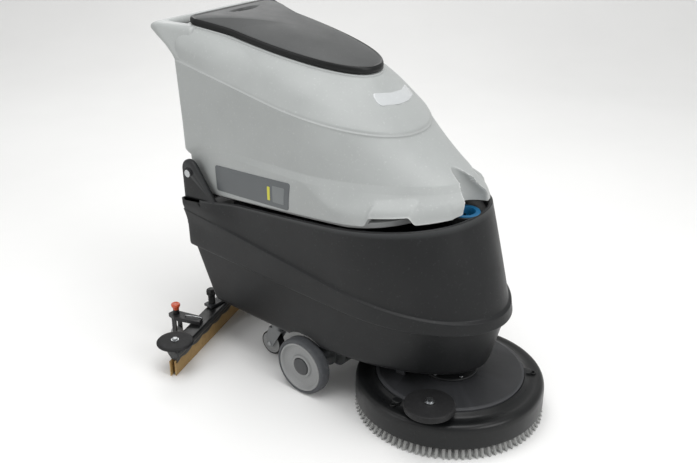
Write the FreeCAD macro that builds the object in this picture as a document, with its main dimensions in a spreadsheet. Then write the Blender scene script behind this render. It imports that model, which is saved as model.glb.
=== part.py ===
import FreeCAD, Part
import os
from math import cos, pi, sin

import Sketcher
from FreeCAD import Rotation, Vector

# Walk-behind floor scrubber dryer with a single 510 mm disc brush.
# Millimetres.  +X is forward, towards the brush, +Y is the machine's left and +Z is up.
# The origin is on the floor, under the middle of the machine's box.

# ---------------------------------------------------------------- driving sizes
SIZES = {
    "overall_length": 1160.0,  # bristle tips to the outside of the handle
    "running_gap": 0.05,  # radial clearance of a shaft that turns in a bore
    "seat_gap": 0.3,  # between pieces that rest near each other and move apart
    # brush and deck
    "bristle_reach": 262.0,
    "deck_radius": 260.0,
    "deck_wall": 5.0,
    "skirt_bottom": 32.0,
    "deck_top": 101.0,
    "plate_radius": 203.0,
    "plate_bottom": 108.0,
    "plate_top": 116.0,
    "deck_motor_radius": 62.0,
    "deck_motor_height": 140.0,
    "drive_shaft_radius": 10.0,
    "roller_radius": 67.0,
    "roller_ahead": 75.0,
    "roller_aside": 204.0,
    "roller_height": 21.0,
    "roller_bolt_radius": 6.0,
    "deck_mount_behind": 248.0,  # frame pin of the lifting arms behind the brush
    "deck_arm_length": 165.0,
    "deck_arm_aside": 104.0,
    "pivot_pin_radius": 5.0,
    # wheels
    "wheel_radius": 85.0,
    "wheel_behind": 30.0,  # axle behind the origin
    "wheel_width": 40.0,
    "wheel_face": 237.0,  # outer face of the tyre from the middle plane
    "rim_radius": 74.0,
    "axle_radius": 10.0,
    "hub_cap_radius": 26.0,
    "gearcase_radius": 43.0,
    "caster_radius": 37.5,
    "caster_width": 26.0,
    "caster_behind": 212.0,
    "caster_aside": 125.0,
    "caster_trail": 25.0,
    "caster_stem_radius": 8.0,
    # lower tank
    "tank_bottom": 165.0,
    "ledge_height": 320.0,
    "tank_half_width": 231.0,
    "tank_nose": 476.0,
    "tank_rear": 472.0,
    "tank_wall": 6.0,
    "rim_height": 541.8,
    "rim_slope": 0.12,
    "pivot_height": 571.0,
    "pivot_behind": 437.0,
    "pivot_bolt_radius": 6.0,
    "ear_radius": 40.0,
    "ear_inside": 224.0,
    "ear_thickness": 14.0,
    "fill_ahead": 338.0,
    "fill_radius": 30.0,
    "collar_height": 588.0,
    "battery_length": 330.0,
    "battery_width": 172.0,
    "battery_height": 236.0,
    "battery_floor": 252.0,
    # upper tank and lid
    "lip_height": 557.0,
    "band_height": 650.0,
    "band_slope": 0.02,
    "band_width": 18.0,
    "crease_height": 804.0,
    "crease_slope": -0.17,
    "shoulder_height": 868.0,
    "lid_seat_height": 904.0,
    "lid_slope": -0.15,
    "shell_wall": 5.0,
    "lid_half_width": 131.0,
    "lid_nose": 50.0,
    "lid_rear": 480.0,
    "lid_edge": 15.0,
    "lid_crown": 55.0,
    "hinge_pin_radius": 3.0,
    "handle_radius": 17.0,
    "handle_height": 963.0,
    "handle_half_width": 222.0,
    "vacuum_ahead": 100.0,
    "vacuum_radius": 70.0,
    "vacuum_height": 125.0,
    "vacuum_top": 735.0,
    "hose_bore": 20.0,
    # squeegee
    "squeegee_reach": 404.0,
    "squeegee_apex": 514.0,
    "squeegee_sweep": 0.357,
    "blade_height": 50.0,
    "blade_thickness": 4.0,
    "squeegee_top": 88.0,
    "bumper_radius": 54.0,
    "bumper_aside": 382.0,
    "bumper_behind": 385.0,
    "bumper_height": 14.0,
    "bumper_bolt_radius": 5.0,
    "prop_wheel_radius": 25.0,
    "prop_aside": 270.0,
    "prop_behind": 508.0,
    "clamp_aside": 150.0,
    "clamp_behind": 478.0,
    "lift_pivot_behind": 330.0,
    "lift_pivot_height": 118.0,
}

doc = FreeCAD.newDocument("FloorScrubber")
sheet = doc.addObject("Spreadsheet::Sheet", "Sizes")
for row, (alias, value) in enumerate(SIZES.items(), start=1):
    sheet.set("A%d" % row, alias)
    sheet.set("B%d" % row, str(value))
    sheet.setAlias("B%d" % row, alias)
doc.recompute()


class Size:
    """A number that keeps the sheet expression it is worked out from."""

    def __init__(self, value, text):
        self.value = float(value)
        self.text = text

    def __float__(self):
        return self.value

    def __add__(self, other):
        return Size(self.value + float(other), "(%s + %s)" % (self.text, words(other)))

    def __radd__(self, other):
        return Size(float(other) + self.value, "(%s + %s)" % (words(other), self.text))

    def __sub__(self, other):
        return Size(self.value - float(other), "(%s - %s)" % (self.text, words(other)))

    def __rsub__(self, other):
        return Size(float(other) - self.value, "(%s - %s)" % (words(other), self.text))

    def __mul__(self, other):
        return Size(self.value * float(other), "(%s * %s)" % (self.text, words(other)))

    __rmul__ = __mul__

    def __truediv__(self, other):
        return Size(self.value / float(other), "(%s / %s)" % (self.text, words(other)))

    def __neg__(self):
        return Size(-self.value, "(-1 * %s)" % self.text)


def words(number):
    """The expression of a Size, or a plain number written out."""
    return number.text if isinstance(number, Size) else "(%r)" % float(number)


def size(alias):
    return Size(sheet.get(alias), "Sizes." + alias)


def bind(item, name, value):
    """Set a property and tie it to the sheet."""
    setattr(item, name, float(value))
    if isinstance(value, Size):
        item.setExpression(name, value.text)


AXES = {
    "Z": Rotation(),
    "-Z": Rotation(Vector(1, 0, 0), 180),
    "X": Rotation(Vector(0, 1, 0), 90),
    "-X": Rotation(Vector(0, 1, 0), -90),
    "Y": Rotation(Vector(1, 0, 0), -90),
    "-Y": Rotation(Vector(1, 0, 0), 90),
}


def place(item, x, y, z, axis="Z"):
    """Put an object's own origin at a point, with its own Z along the named axis."""
    item.Placement = FreeCAD.Placement(Vector(float(x), float(y), float(z)), AXES[axis])
    for letter, value in (("x", x), ("y", y), ("z", z)):
        if isinstance(value, Size):
            item.setExpression("Placement.Base." + letter, value.text)
    return item


# ---------------------------------------------------------------- ways of making a piece
NODES = []


def node(label, item):
    """Name a finished sub-part."""
    item.Label = label
    NODES.append(item)
    return item


def block(x0, x1, y0, y1, z0, z1):
    item = doc.addObject("Part::Box", "Block")
    bind(item, "Length", x1 - x0)
    bind(item, "Width", y1 - y0)
    bind(item, "Height", z1 - z0)
    return place(item, x0, y0, z0)


def rod(radius, length, x, y, z, axis="Z"):
    item = doc.addObject("Part::Cylinder", "Rod")
    bind(item, "Radius", radius)
    bind(item, "Height", length)
    return place(item, x, y, z, axis)


def joined(*items):
    item = doc.addObject("Part::MultiFuse", "Joined")
    item.Shapes = list(items)
    return item


def cut(base, *tools):
    item = doc.addObject("Part::Cut", "Cut")
    item.Base = base
    item.Tool = tools[0] if len(tools) == 1 else joined(*tools)
    return item


def group(*items):
    """Identical pieces that share one node, as separate solids."""
    item = doc.addObject("Part::Compound", "Group")
    item.Links = list(items)
    return item


def shaped(shape):
    """A piece whose shape is worked out directly."""
    item = doc.addObject("Part::Feature", "Shaped")
    item.Shape = shape
    return item


def outline_sketch(body, plane, corners, circles=()):
    """A closed outline, each corner held by two bound distances, with round holes in it."""
    sketch = body.newObject("Sketcher::SketchObject", "Outline")
    origin = [o for o in body.Origin.OriginFeatures if o.Role == plane][0]
    sketch.AttachmentSupport = [(origin, "")]
    sketch.MapMode = "FlatFace"
    points = [Vector(float(a), float(b), 0) for a, b in corners]
    count = len(points)
    for i in range(count):
        sketch.addGeometry(Part.LineSegment(points[i], points[(i + 1) % count]))
    for i in range(count):
        sketch.addConstraint(Sketcher.Constraint("Coincident", i, 2, (i + 1) % count, 1))
    for i, corner in enumerate(corners):
        hold_point(sketch, i, 1, corner)
    for a, b, radius in circles:
        index = sketch.addGeometry(Part.Circle(Vector(float(a), float(b), 0), Vector(0, 0, 1), float(radius)))
        hold_point(sketch, index, 3, (a, b))
        number = sketch.addConstraint(Sketcher.Constraint("Radius", index, float(radius)))
        if isinstance(radius, Size):
            sketch.setExpression("Constraints[%d]" % number, radius.text)
    return sketch


def hold_point(sketch, index, end, corner):
    """Tie a point of a sketch to its two distances from the sketch's origin."""
    for kind, value, axis in (("DistanceX", corner[0], -2), ("DistanceY", corner[1], -1)):
        if float(value) == 0.0:
            sketch.addConstraint(Sketcher.Constraint("PointOnObject", index, end, axis))
            continue
        number = sketch.addConstraint(Sketcher.Constraint(kind, -1, 1, index, end, float(value)))
        if isinstance(value, Size):
            sketch.setExpression("Constraints[%d]" % number, value.text)


def turned(outline, x=0, y=0, z=0, axis="Z"):
    """A body turned about its own Z from (radius, height) corners."""
    body = doc.addObject("PartDesign::Body", "Turned")
    sketch = outline_sketch(body, "XZ_Plane", outline)
    turn = body.newObject("PartDesign::Revolution", "Revolution")
    turn.Profile = sketch
    turn.ReferenceAxis = (sketch, ["V_Axis"])
    turn.Angle = 360
    return place(body, x, y, z, axis)


def plate(outline, thickness, x=0, y=0, z=0, plane="XY_Plane", circles=()):
    """A body padded from a flat outline; on the XZ plane it is centred about its own plane."""
    body = doc.addObject("PartDesign::Body", "Plate")
    sketch = outline_sketch(body, plane, outline, circles)
    pad = body.newObject("PartDesign::Pad", "Pad")
    pad.Profile = sketch
    bind(pad, "Length", thickness)
    if plane == "XZ_Plane":
        pad.Midplane = True
    return place(body, x, y, z)


def prism(points, y0, y1):
    """A solid between two planes of constant Y, from its (x, z) corners."""
    ring = [Vector(float(x), float(y0), float(z)) for x, z in points]
    face = Part.Face(Part.makePolygon(ring + ring[:1]))
    return face.extrude(Vector(0, float(y1) - float(y0), 0))


class Plan:
    """One level of a tank: a straight tail with rounded corners and an oval nose."""

    def __init__(self, height, slope, half, half_rear, rear, nose, start, power=2.0, corner=40.0):
        self.height, self.slope = float(height), float(slope)
        self.half, self.half_rear = float(half), float(half_rear)
        self.rear, self.nose, self.start = float(rear), float(nose), float(start)
        self.power, self.corner = power, corner

    def grown(self, by, lift=0.0):
        """The same level with its outline moved out by a distance."""
        corner = max(self.corner + by, 4.0)
        return Plan(self.height + lift, self.slope, self.half + by, self.half_rear + by, self.rear - by,
                    self.nose + by, self.start, self.power, corner)

    def point(self, x, y):
        return Vector(x, y, self.height + self.slope * x)

    def wire(self):
        nose_steps, corner_steps = 16, 4
        nose = []
        for i in range(nose_steps + 1):
            turn = -pi / 2 + pi * i / nose_steps
            out = abs(cos(turn)) ** (2 / self.power) if 0 < i < nose_steps else 0.0
            side = abs(sin(turn)) ** (2 / self.power) * (1 if turn > 0 else -1) if i != nose_steps / 2 else 0.0
            nose.append(self.point(self.start + (self.nose - self.start) * out, self.half * side))
        nose_curve = Part.BSplineCurve()
        along = Vector(1, 0, self.slope)
        nose_curve.interpolate(Points=nose, InitialTangent=along * 200, FinalTangent=along * -200)
        tail = []
        for i in range(corner_steps + 1):
            turn = pi / 2 * i / corner_steps
            tail.append((self.rear + self.corner * (1 - sin(turn)), self.half_rear - self.corner * (1 - cos(turn))))
        left = Part.BSplineCurve()
        left.interpolate(Points=[self.point(x, y) for x, y in tail])
        right = Part.BSplineCurve()
        right.interpolate(Points=[self.point(x, -y) for x, y in reversed(tail)])
        edges = [
            nose_curve.toShape(),
            Part.LineSegment(nose[-1], self.point(*tail[0])).toShape(),
            left.toShape(),
            Part.LineSegment(self.point(*tail[-1]), self.point(tail[-1][0], -tail[-1][1])).toShape(),
            right.toShape(),
            Part.LineSegment(self.point(tail[0][0], -tail[0][1]), nose[0]).toShape(),
        ]
        return Part.Wire(edges)


def shell_between(*plans):
    """A solid whose skin runs straight from each level to the next."""
    return Part.makeLoft([p.wire() for p in plans], True, True)


def round_bar(radius, x, z, y0, y1):
    return Part.makeCylinder(float(radius), float(y1) - float(y0), Vector(float(x), float(y0), float(z)),
                             Vector(0, 1, 0))


# ---------------------------------------------------------------- sizes that several pieces share
gap = size("running_gap")
seat = size("seat_gap")
handle_x = -(size("overall_length") / 2) + size("handle_radius")
brush_x = size("overall_length") / 2 - size("bristle_reach")
mount_x = brush_x - size("deck_mount_behind")
axle_x = -size("wheel_behind")
axle_z = size("wheel_radius")
caster_x = -size("caster_behind")
pivot_x = -size("pivot_behind")
pivot_z = size("pivot_height")
tank_bottom = size("tank_bottom")
BOTH = (("left", 1), ("right", -1))

# ---------------------------------------------------------------- lower (solution) tank
rim_slope = size("rim_slope")
under_ledge = 14.0
bottom_plan = Plan(tank_bottom, 0, 213, 204, -384, brush_x + 106, 0)
under_plan = Plan(size("ledge_height"), 0, size("tank_half_width") - under_ledge, 212,
                  -size("tank_rear") + 24, size("tank_nose") - 16, 110)
ledge_plan = Plan(size("ledge_height"), 0, size("tank_half_width"), 227, -size("tank_rear"),
                  size("tank_nose"), 120)
crease_plan = Plan(390, -0.08, size("tank_half_width") + 3, 229, -size("tank_rear") - 3,
                   size("tank_nose") - 8, 115)
rim_plan = Plan(size("rim_height"), rim_slope, size("tank_half_width") + 5, 206, -size("tank_rear"), 381, 75, 2.2)


def solution_tank_shape():
    wall = float(size("tank_wall"))
    ledge_z = float(size("ledge_height"))
    outer = shell_between(bottom_plan, under_plan).fuse(shell_between(ledge_plan, crease_plan, rim_plan))
    low = shell_between(bottom_plan.grown(-wall, wall), under_plan.grown(-wall, wall))
    ledge_inside = ledge_plan.grown(-wall, wall)
    high = shell_between(ledge_inside, crease_plan.grown(-wall), rim_plan.grown(-wall, -wall))
    wells, pockets = [], []
    for extra, found in ((wall, wells), (0.0, pockets)):
        reach = float(size("battery_length")) / 2 + 8 + extra
        long = float(size("battery_width")) * 2 + 16
        middle = float(axle_x) - 142
        found.append(Part.makeBox(long + 2 * extra, 2 * reach, 400,
                                  Vector(middle - long / 2 - extra, -reach,
                                         float(size("battery_floor")) - 2 - extra)))
        found.append(Part.makeCylinder(float(size("deck_motor_radius")) + 28 + extra,
                                       165 + extra, Vector(float(brush_x), 0, float(tank_bottom))))
        found.append(Part.makeBox(float(brush_x) - 58 + 2 * extra, 2 * (124 + extra), 50 + extra,
                                  Vector(58 - extra, -124 - extra, float(tank_bottom))))
        found.append(Part.makeCylinder(float(size("fill_radius")) + 3 + 2 * extra, 200,
                                       Vector(float(size("fill_ahead")), 0, 520 - extra)))
        arch = float(size("wheel_radius")) + 13 + extra
        inner_face = float(size("wheel_face")) - float(size("wheel_width")) - 10 - extra
        for _, side in BOTH:
            found.append(round_bar(arch, axle_x, axle_z, *sorted((side * inner_face, side * 300))))
    mouth = pockets[3]
    room = low.fuse(high).cut(wells[0].multiFuse(wells[1:3] + wells[4:]))
    collar = Part.makeCylinder(float(size("fill_radius")) + 12, 28,
                               Vector(float(size("fill_ahead")), 0, float(size("collar_height")) - 28))
    tank = outer.fuse(collar).cut(room).cut(pockets[0].multiFuse(pockets[1:3] + pockets[4:])).cut(mouth)
    for _, side in BOTH:
        inner, outer_face = float(size("ear_inside")), float(size("ear_inside") + size("ear_thickness"))
        low_z = float(size("rim_height")) + float(rim_slope) * float(pivot_x)
        radius = float(size("ear_radius"))
        foot = [(-float(size("tank_rear")), low_z - 60), (-float(size("tank_rear")), float(pivot_z)),
                (float(pivot_x) + radius * 0.6, float(pivot_z) + 6),
                (float(pivot_x) + 52, low_z + 26), (float(pivot_x) + 96, low_z + 6),
                (float(pivot_x) + 96, low_z - 60)]
        y0, y1 = sorted((side * inner, side * outer_face))
        ear = prism(foot, y0, y1).fuse(round_bar(radius, pivot_x, pivot_z, y0, y1))
        shoulder = prism([(-float(size("tank_rear")) + 8, low_z - 60), (-float(size("tank_rear")) + 8, low_z - 8),
                          (float(pivot_x) + 96, low_z + 2), (float(pivot_x) + 96, low_z - 60)],
                         *sorted((side * 196, side * inner)))
        tank = tank.fuse(ear).fuse(shoulder)
        tank = tank.cut(round_bar(size("pivot_bolt_radius"), pivot_x, pivot_z, y0 - 1, y1 + 1))
    return tank.removeSplitter()


node("solution_tank", shaped(solution_tank_shape()))

ear_outside = size("ear_inside") + size("ear_thickness")
bolts = []
for _, side in BOTH:
    facing = "Y" if side > 0 else "-Y"
    bolts.append(turned([(0, 0), (size("pivot_bolt_radius"), 0),
                         (size("pivot_bolt_radius"), size("ear_thickness") + 22),
                         (11, size("ear_thickness") + 22), (11, size("ear_thickness") + 29),
                         (0, size("ear_thickness") + 29)],
                        pivot_x, side * (size("ear_inside") - 22), pivot_z, facing))
node("pivot_bolts", group(*bolts))

collar = size("collar_height")
node("fill_strainer", turned([(0, collar - 64), (24, collar - 64), (24, collar - 62),
                              (size("fill_radius"), collar - 6), (size("fill_radius") + 1, collar),
                              (size("fill_radius") + 10, collar), (size("fill_radius") + 10, collar + 3),
                              (size("fill_radius") - 3, collar + 3), (size("fill_radius") - 3, collar - 6),
                              (21, collar - 61), (0, collar - 61)],
                             size("fill_ahead"), 0, 0))

node("drain_cap", turned([(0, 0), (16, 0), (20, 6), (20, 26), (24, 26), (24, 33.5), (0, 33.5)],
                         axle_x - 310, 165, tank_bottom - 33.5))
node("solution_filter", turned([(0, 0), (20, 0), (26, 6), (26, 30), (32, 30), (32, 45), (0, 45)],
                               axle_x - 100, 0, tank_bottom - 45))

# batteries stand in the tank's open well, posts up
battery_x = axle_x - 142
battery_z = size("battery_floor") - 2
pair, posts = [], []
for place_along in (-1, 1):
    x0 = battery_x + place_along * (size("battery_width") / 2 + 2) - size("battery_width") / 2
    case = block(x0, x0 + size("battery_width"), -(size("battery_length") / 2), size("battery_length") / 2,
                 battery_z, battery_z + size("battery_height"))
    pair.append(case)
    for _, side in BOTH:
        posts.append(rod(9, 14, x0 + size("battery_width") / 2, side * (size("battery_length") / 2 - 35),
                         battery_z + size("battery_height")))
node("batteries", group(*pair))
strap_y = size("battery_length") / 2 - 35
strap_z = battery_z + size("battery_height")
strap = joined(block(battery_x - 98, battery_x + 98, strap_y - 9, strap_y + 9, strap_z, strap_z + 5),
               posts[0], posts[2])
node("battery_links", group(strap, posts[1], posts[3]))

# ---------------------------------------------------------------- frame, axle and castors
rail_low = axle_z + size("gearcase_radius") - 3
caster_top = tank_bottom - 15
frame = []
for _, side in BOTH:
    y0, y1 = (58, 88) if side > 0 else (-88, -58)
    frame.append(block(-330, mount_x - 14, y0, y1, rail_low, tank_bottom))
    bridge0, bridge1 = (58, 121) if side > 0 else (-121, -58)
    frame.append(block(mount_x - 20, mount_x + 14, bridge0, bridge1, tank_bottom - 8, tank_bottom))
    lug0, lug1 = (110.5, 121) if side > 0 else (-121, -110.5)
    frame.append(block(mount_x - 20, mount_x + 14, lug0, lug1, 132, tank_bottom))
    pin0, pin1 = (98, 121) if side > 0 else (-121, -98)
    frame.append(rod(size("pivot_pin_radius"), pin1 - pin0, mount_x, pin0, 145, "Y"))
    plate0, plate1 = (60, 175) if side > 0 else (-175, -60)
    frame.append(block(caster_x - 50, caster_x + 50, plate0, plate1, caster_top, tank_bottom))
frame.append(block(-318, -282, -80, 80, rail_low + 6, tank_bottom))
frame.append(block(-20, 20, -80, 80, tank_bottom - 20, tank_bottom))
stems = [rod(size("caster_stem_radius") + gap, 30, caster_x, side * size("caster_aside"), caster_top - 8)
         for _, side in BOTH]
swing_hole = rod(size("caster_stem_radius") + gap, 60, -300, 0, rail_low - 5)
axle_bed = rod(size("gearcase_radius"), 300, axle_x, -150, axle_z, "Y")
axle_boss = rod(size("gearcase_radius") + 8 + seat, 41, axle_x, -20.5, axle_z, "Y")
node("chassis_frame", cut(joined(*frame), axle_bed, axle_boss, swing_hole, *stems))

spindle_end = size("wheel_face") - 7
node("transaxle", joined(rod(size("gearcase_radius"), 250, axle_x, -125, axle_z, "Y"),
                         rod(size("gearcase_radius") + 8, 40, axle_x, -20, axle_z, "Y"),
                         rod(22, 376, axle_x, -188, axle_z, "Y"),
                         rod(size("axle_radius"), spindle_end * 2, axle_x, -spindle_end, axle_z, "Y"),
                         rod(34, 110, axle_x + 40, -120, axle_z + 4, "Y")))

tyre_half = size("wheel_width") / 2
rim_half = tyre_half - 2
bore = size("axle_radius") + gap
for word, side in BOTH:
    wheel_y = side * (size("wheel_face") - tyre_half)
    facing = "Y" if side > 0 else "-Y"
    node("tyre_" + word, turned([(size("rim_radius"), -tyre_half), (axle_z - 5, -tyre_half),
                                 (axle_z, -tyre_half + 6), (axle_z, tyre_half - 6), (axle_z - 5, tyre_half),
                                 (size("rim_radius"), tyre_half)], axle_x, wheel_y, axle_z, facing))
    node("wheel_rim_" + word, turned([(bore, -rim_half), (24, -rim_half), (24, -6), (66, -6), (66, -rim_half),
                                      (size("rim_radius"), -rim_half), (size("rim_radius"), rim_half),
                                      (66, rim_half), (61, 8), (32, 4), (size("hub_cap_radius"), 12), (bore, 12)],
                                     axle_x, wheel_y, axle_z, facing))
    node("hub_cap_" + word, turned([(0, 13.2), (bore, 13.2), (bore, 12), (size("hub_cap_radius"), 12),
                                    (size("hub_cap_radius"), 16), (20, 20), (0, 20.5)],
                                   axle_x, wheel_y, axle_z, facing))

cheek_gap = size("caster_width") / 2 + 1
wheel_z = size("caster_radius")
for word, side in BOTH:
    caster_y = side * size("caster_aside")
    hub_x = caster_x - size("caster_trail")
    parts = [rod(size("pivot_pin_radius"), cheek_gap * 2 + 8, hub_x, caster_y - cheek_gap - 4, wheel_z, "Y"),
             block(caster_x - 26, caster_x + 22, caster_y - cheek_gap - 4, caster_y + cheek_gap + 4, 90, 96),
             rod(22, caster_top - 96 - seat, caster_x, caster_y, 96),
             rod(size("caster_stem_radius"), 20, caster_x, caster_y, caster_top - 8)]
    for cheek in (-1, 1):
        parts.append(plate([(hub_x - 11, wheel_z - 8), (hub_x + 11, wheel_z - 8), (caster_x + 22, 92),
                            (caster_x + 22, 96), (caster_x - 26, 96), (hub_x - 14, wheel_z + 18)],
                           4, 0, caster_y + cheek * (cheek_gap + 2), 0, "XZ_Plane"))
    node("caster_fork_" + word, joined(*parts))
    half = size("caster_width") / 2
    node("caster_wheel_" + word,
         turned([(size("pivot_pin_radius") + gap, -half), (14, -half), (28, -half + 4), (wheel_z - 3, -half),
                 (wheel_z, -half + 4), (wheel_z, half - 4), (wheel_z - 3, half), (28, half - 4), (14, half),
                 (size("pivot_pin_radius") + gap, half)], hub_x, caster_y, wheel_z, "Y"))

# ---------------------------------------------------------------- brush, deck and its lifting arm
deck_r, wall = size("deck_radius"), size("deck_wall")
deck_top, plate_z = size("deck_top"), size("plate_bottom")
roller_x = brush_x + size("roller_ahead")
roller_y = -size("roller_aside")
cover = turned([(deck_r - wall, size("skirt_bottom")), (deck_r, size("skirt_bottom")), (deck_r, deck_top - 22),
                (deck_r - 4, deck_top - 12), (deck_r - 11, deck_top - 5), (deck_r - 22, deck_top - 1.5),
                (deck_r - 36, deck_top), (207, deck_top + 3), (207, plate_z), (150, plate_z),
                (150, plate_z - wall), (201, plate_z - wall), (201, deck_top - 4), (deck_r - 24, deck_top - 7),
                (deck_r - 15, deck_top - 11), (deck_r - 9, deck_top - 17), (deck_r - wall, deck_top - 26)],
               brush_x, 0, 0)
clips = []
for turn in (37, 157, 264):
    clip = block(207, 226, -13, 13, deck_top - 2, plate_z + 7)
    clip.Placement = FreeCAD.Placement(Vector(float(brush_x), 0, 0), Rotation(Vector(0, 0, 1), turn)).multiply(
        clip.Placement)
    clip.setExpression("Placement.Base.x", None)
    clip.setExpression("Placement.Base.z", None)
    clips.append(clip)
roller_seat = rod(14, deck_top + 19 - (deck_top - 5) - seat, roller_x, roller_y, deck_top - 5)
bolt_hole = rod(size("roller_bolt_radius"), 40, roller_x, roller_y, deck_top - 10)
node("deck_cover", cut(joined(cover, roller_seat, *clips), bolt_hole))

disc = turned([(30, plate_z), (size("plate_radius"), plate_z), (size("plate_radius"), size("plate_top") - 3),
               (size("plate_radius") - 8, size("plate_top")), (30, size("plate_top"))], brush_x, 0, 0)
lugs = []
deck_pivot_x = mount_x + size("deck_arm_length")
for _, side in BOTH:
    lug0, lug1 = (110.5, 118) if side > 0 else (-118, -110.5)
    lugs.append(block(deck_pivot_x - 14, deck_pivot_x + 14, lug0, lug1, size("plate_top") - 1, 154))
    pin0, pin1 = (98, 118) if side > 0 else (-118, -98)
    lugs.append(rod(size("pivot_pin_radius"), pin1 - pin0, deck_pivot_x, pin0, 145, "Y"))
node("deck_plate", joined(disc, *lugs))

arms = []
for _, side in BOTH:
    arm_y = side * size("deck_arm_aside")
    arms.append(plate([(mount_x - 10, 137), (deck_pivot_x + 10, 137), (deck_pivot_x + 10, 153),
                       (mount_x - 10, 153)], 8, 0, arm_y, 0, "XZ_Plane",
                      circles=[(mount_x, 145, size("pivot_pin_radius") + gap),
                               (deck_pivot_x, 145, size("pivot_pin_radius") + gap)]))
node("deck_arm", joined(rod(7, size("deck_arm_aside") * 2, mount_x + 70, -size("deck_arm_aside"), 145, "Y"),
                        *arms))

shaft = size("drive_shaft_radius")
motor_top = size("plate_top") + size("deck_motor_height")
node("brush_motor", turned([(shaft + gap, size("plate_top")), (78, size("plate_top")), (78, size("plate_top") + 8),
                            (size("deck_motor_radius"), size("plate_top") + 8),
                            (size("deck_motor_radius"), motor_top - 12), (54, motor_top), (0, motor_top),
                            (0, size("plate_top") + 30), (shaft + gap, size("plate_top") + 30)], brush_x, 0, 0))
node("roller_bolt", turned([(0, 0), (size("roller_bolt_radius"), 0), (size("roller_bolt_radius"), 42),
                            (11, 42), (11, 45), (9, 45), (9, 51), (0, 51)], roller_x, roller_y, deck_top - 1))
node("deck_roller", turned([(size("roller_bolt_radius") + gap, 0), (58, 0), (size("roller_radius"), 4),
                            (size("roller_radius"), 13), (61, 17), (20, size("roller_height")),
                            (size("roller_bolt_radius") + gap, size("roller_height"))],
                           roller_x, roller_y, deck_top + 19))
block_low = size("skirt_bottom") + 2
block_r = deck_r - wall - 10
node("brush_block", turned([(52, block_low), (block_r, block_low), (block_r, block_low + 16), (block_r - 9, block_low + 24),
                            (52, block_low + 24)], brush_x, 0, 0))
node("brush_bristles", turned([(150, 0), (size("bristle_reach"), 0), (block_r - 2, block_low), (150, block_low)],
                              brush_x, 0, 0))
node("drive_hub", turned([(0, block_low + 24), (70, block_low + 24), (70, block_low + 32), (22, block_low + 34),
                          (22, size("plate_top") - 6), (shaft, size("plate_top") - 6),
                          (shaft, size("plate_top") + 28), (0, size("plate_top") + 28)], brush_x, 0, 0))

# ---------------------------------------------------------------- upper (recovery) tank and lid
plinth_low = Plan(size("rim_height") + seat, rim_slope, 214, 176, -422, 286, 110)
plinth_top = Plan(size("lip_height") + 2, rim_slope, 214, 176, -422, 286, 110)
lip_plan = Plan(size("lip_height"), rim_slope, size("tank_half_width") + 2, 200, -457, 381, 109, 1.9)
nose_plan = Plan(size("lip_height") + 33, rim_slope, size("tank_half_width") + 5, 202, -458, 387, 98, 1.6)
band_low = Plan(size("band_height"), size("band_slope"), size("tank_half_width") - 6, 206, -459, 358, -16, 1.7)
band_top = Plan(size("band_height") + size("band_width"), size("band_slope"), size("tank_half_width") - 13, 214,
                -474, 347, -18, 1.7)
upper_crease = Plan(size("crease_height"), size("crease_slope"), size("tank_half_width") - 16, 216, -489, 193,
                    -154, 2.1)
shoulder_plan = Plan(size("shoulder_height"), size("lid_slope"), size("lid_half_width") + 49, 214, -500, 94, -166, 2)
seat_plan = Plan(size("lid_seat_height"), size("lid_slope"), size("lid_half_width") + 5, 176,
                 -size("lid_rear") - 17, size("lid_nose") + 4, -343, 2.3, 34)
tank_levels = (lip_plan, nose_plan, band_low, band_top, upper_crease, shoulder_plan, seat_plan)
lid_plan = Plan(size("lid_seat_height") + 2.5, size("lid_slope"), size("lid_half_width"), 160,
                -size("lid_rear"), size("lid_nose"), -343, 2.3, 30)
LEVER_X, LEVER_Z = -508, 930
PORTS = ((-80, 700), (80, 640))
hinge_x = size("lid_nose") - 4
hinge_z = size("lid_seat_height") + 6.5 + size("lid_slope") * hinge_x


def scoop(extra):
    """The filling recess in the nose, as a cone leaning back with the nose."""
    return Part.makeCone(84 + extra, 5 + extra, 198, Vector(416, 0, 562), Vector(-124, 0, 154))


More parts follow.
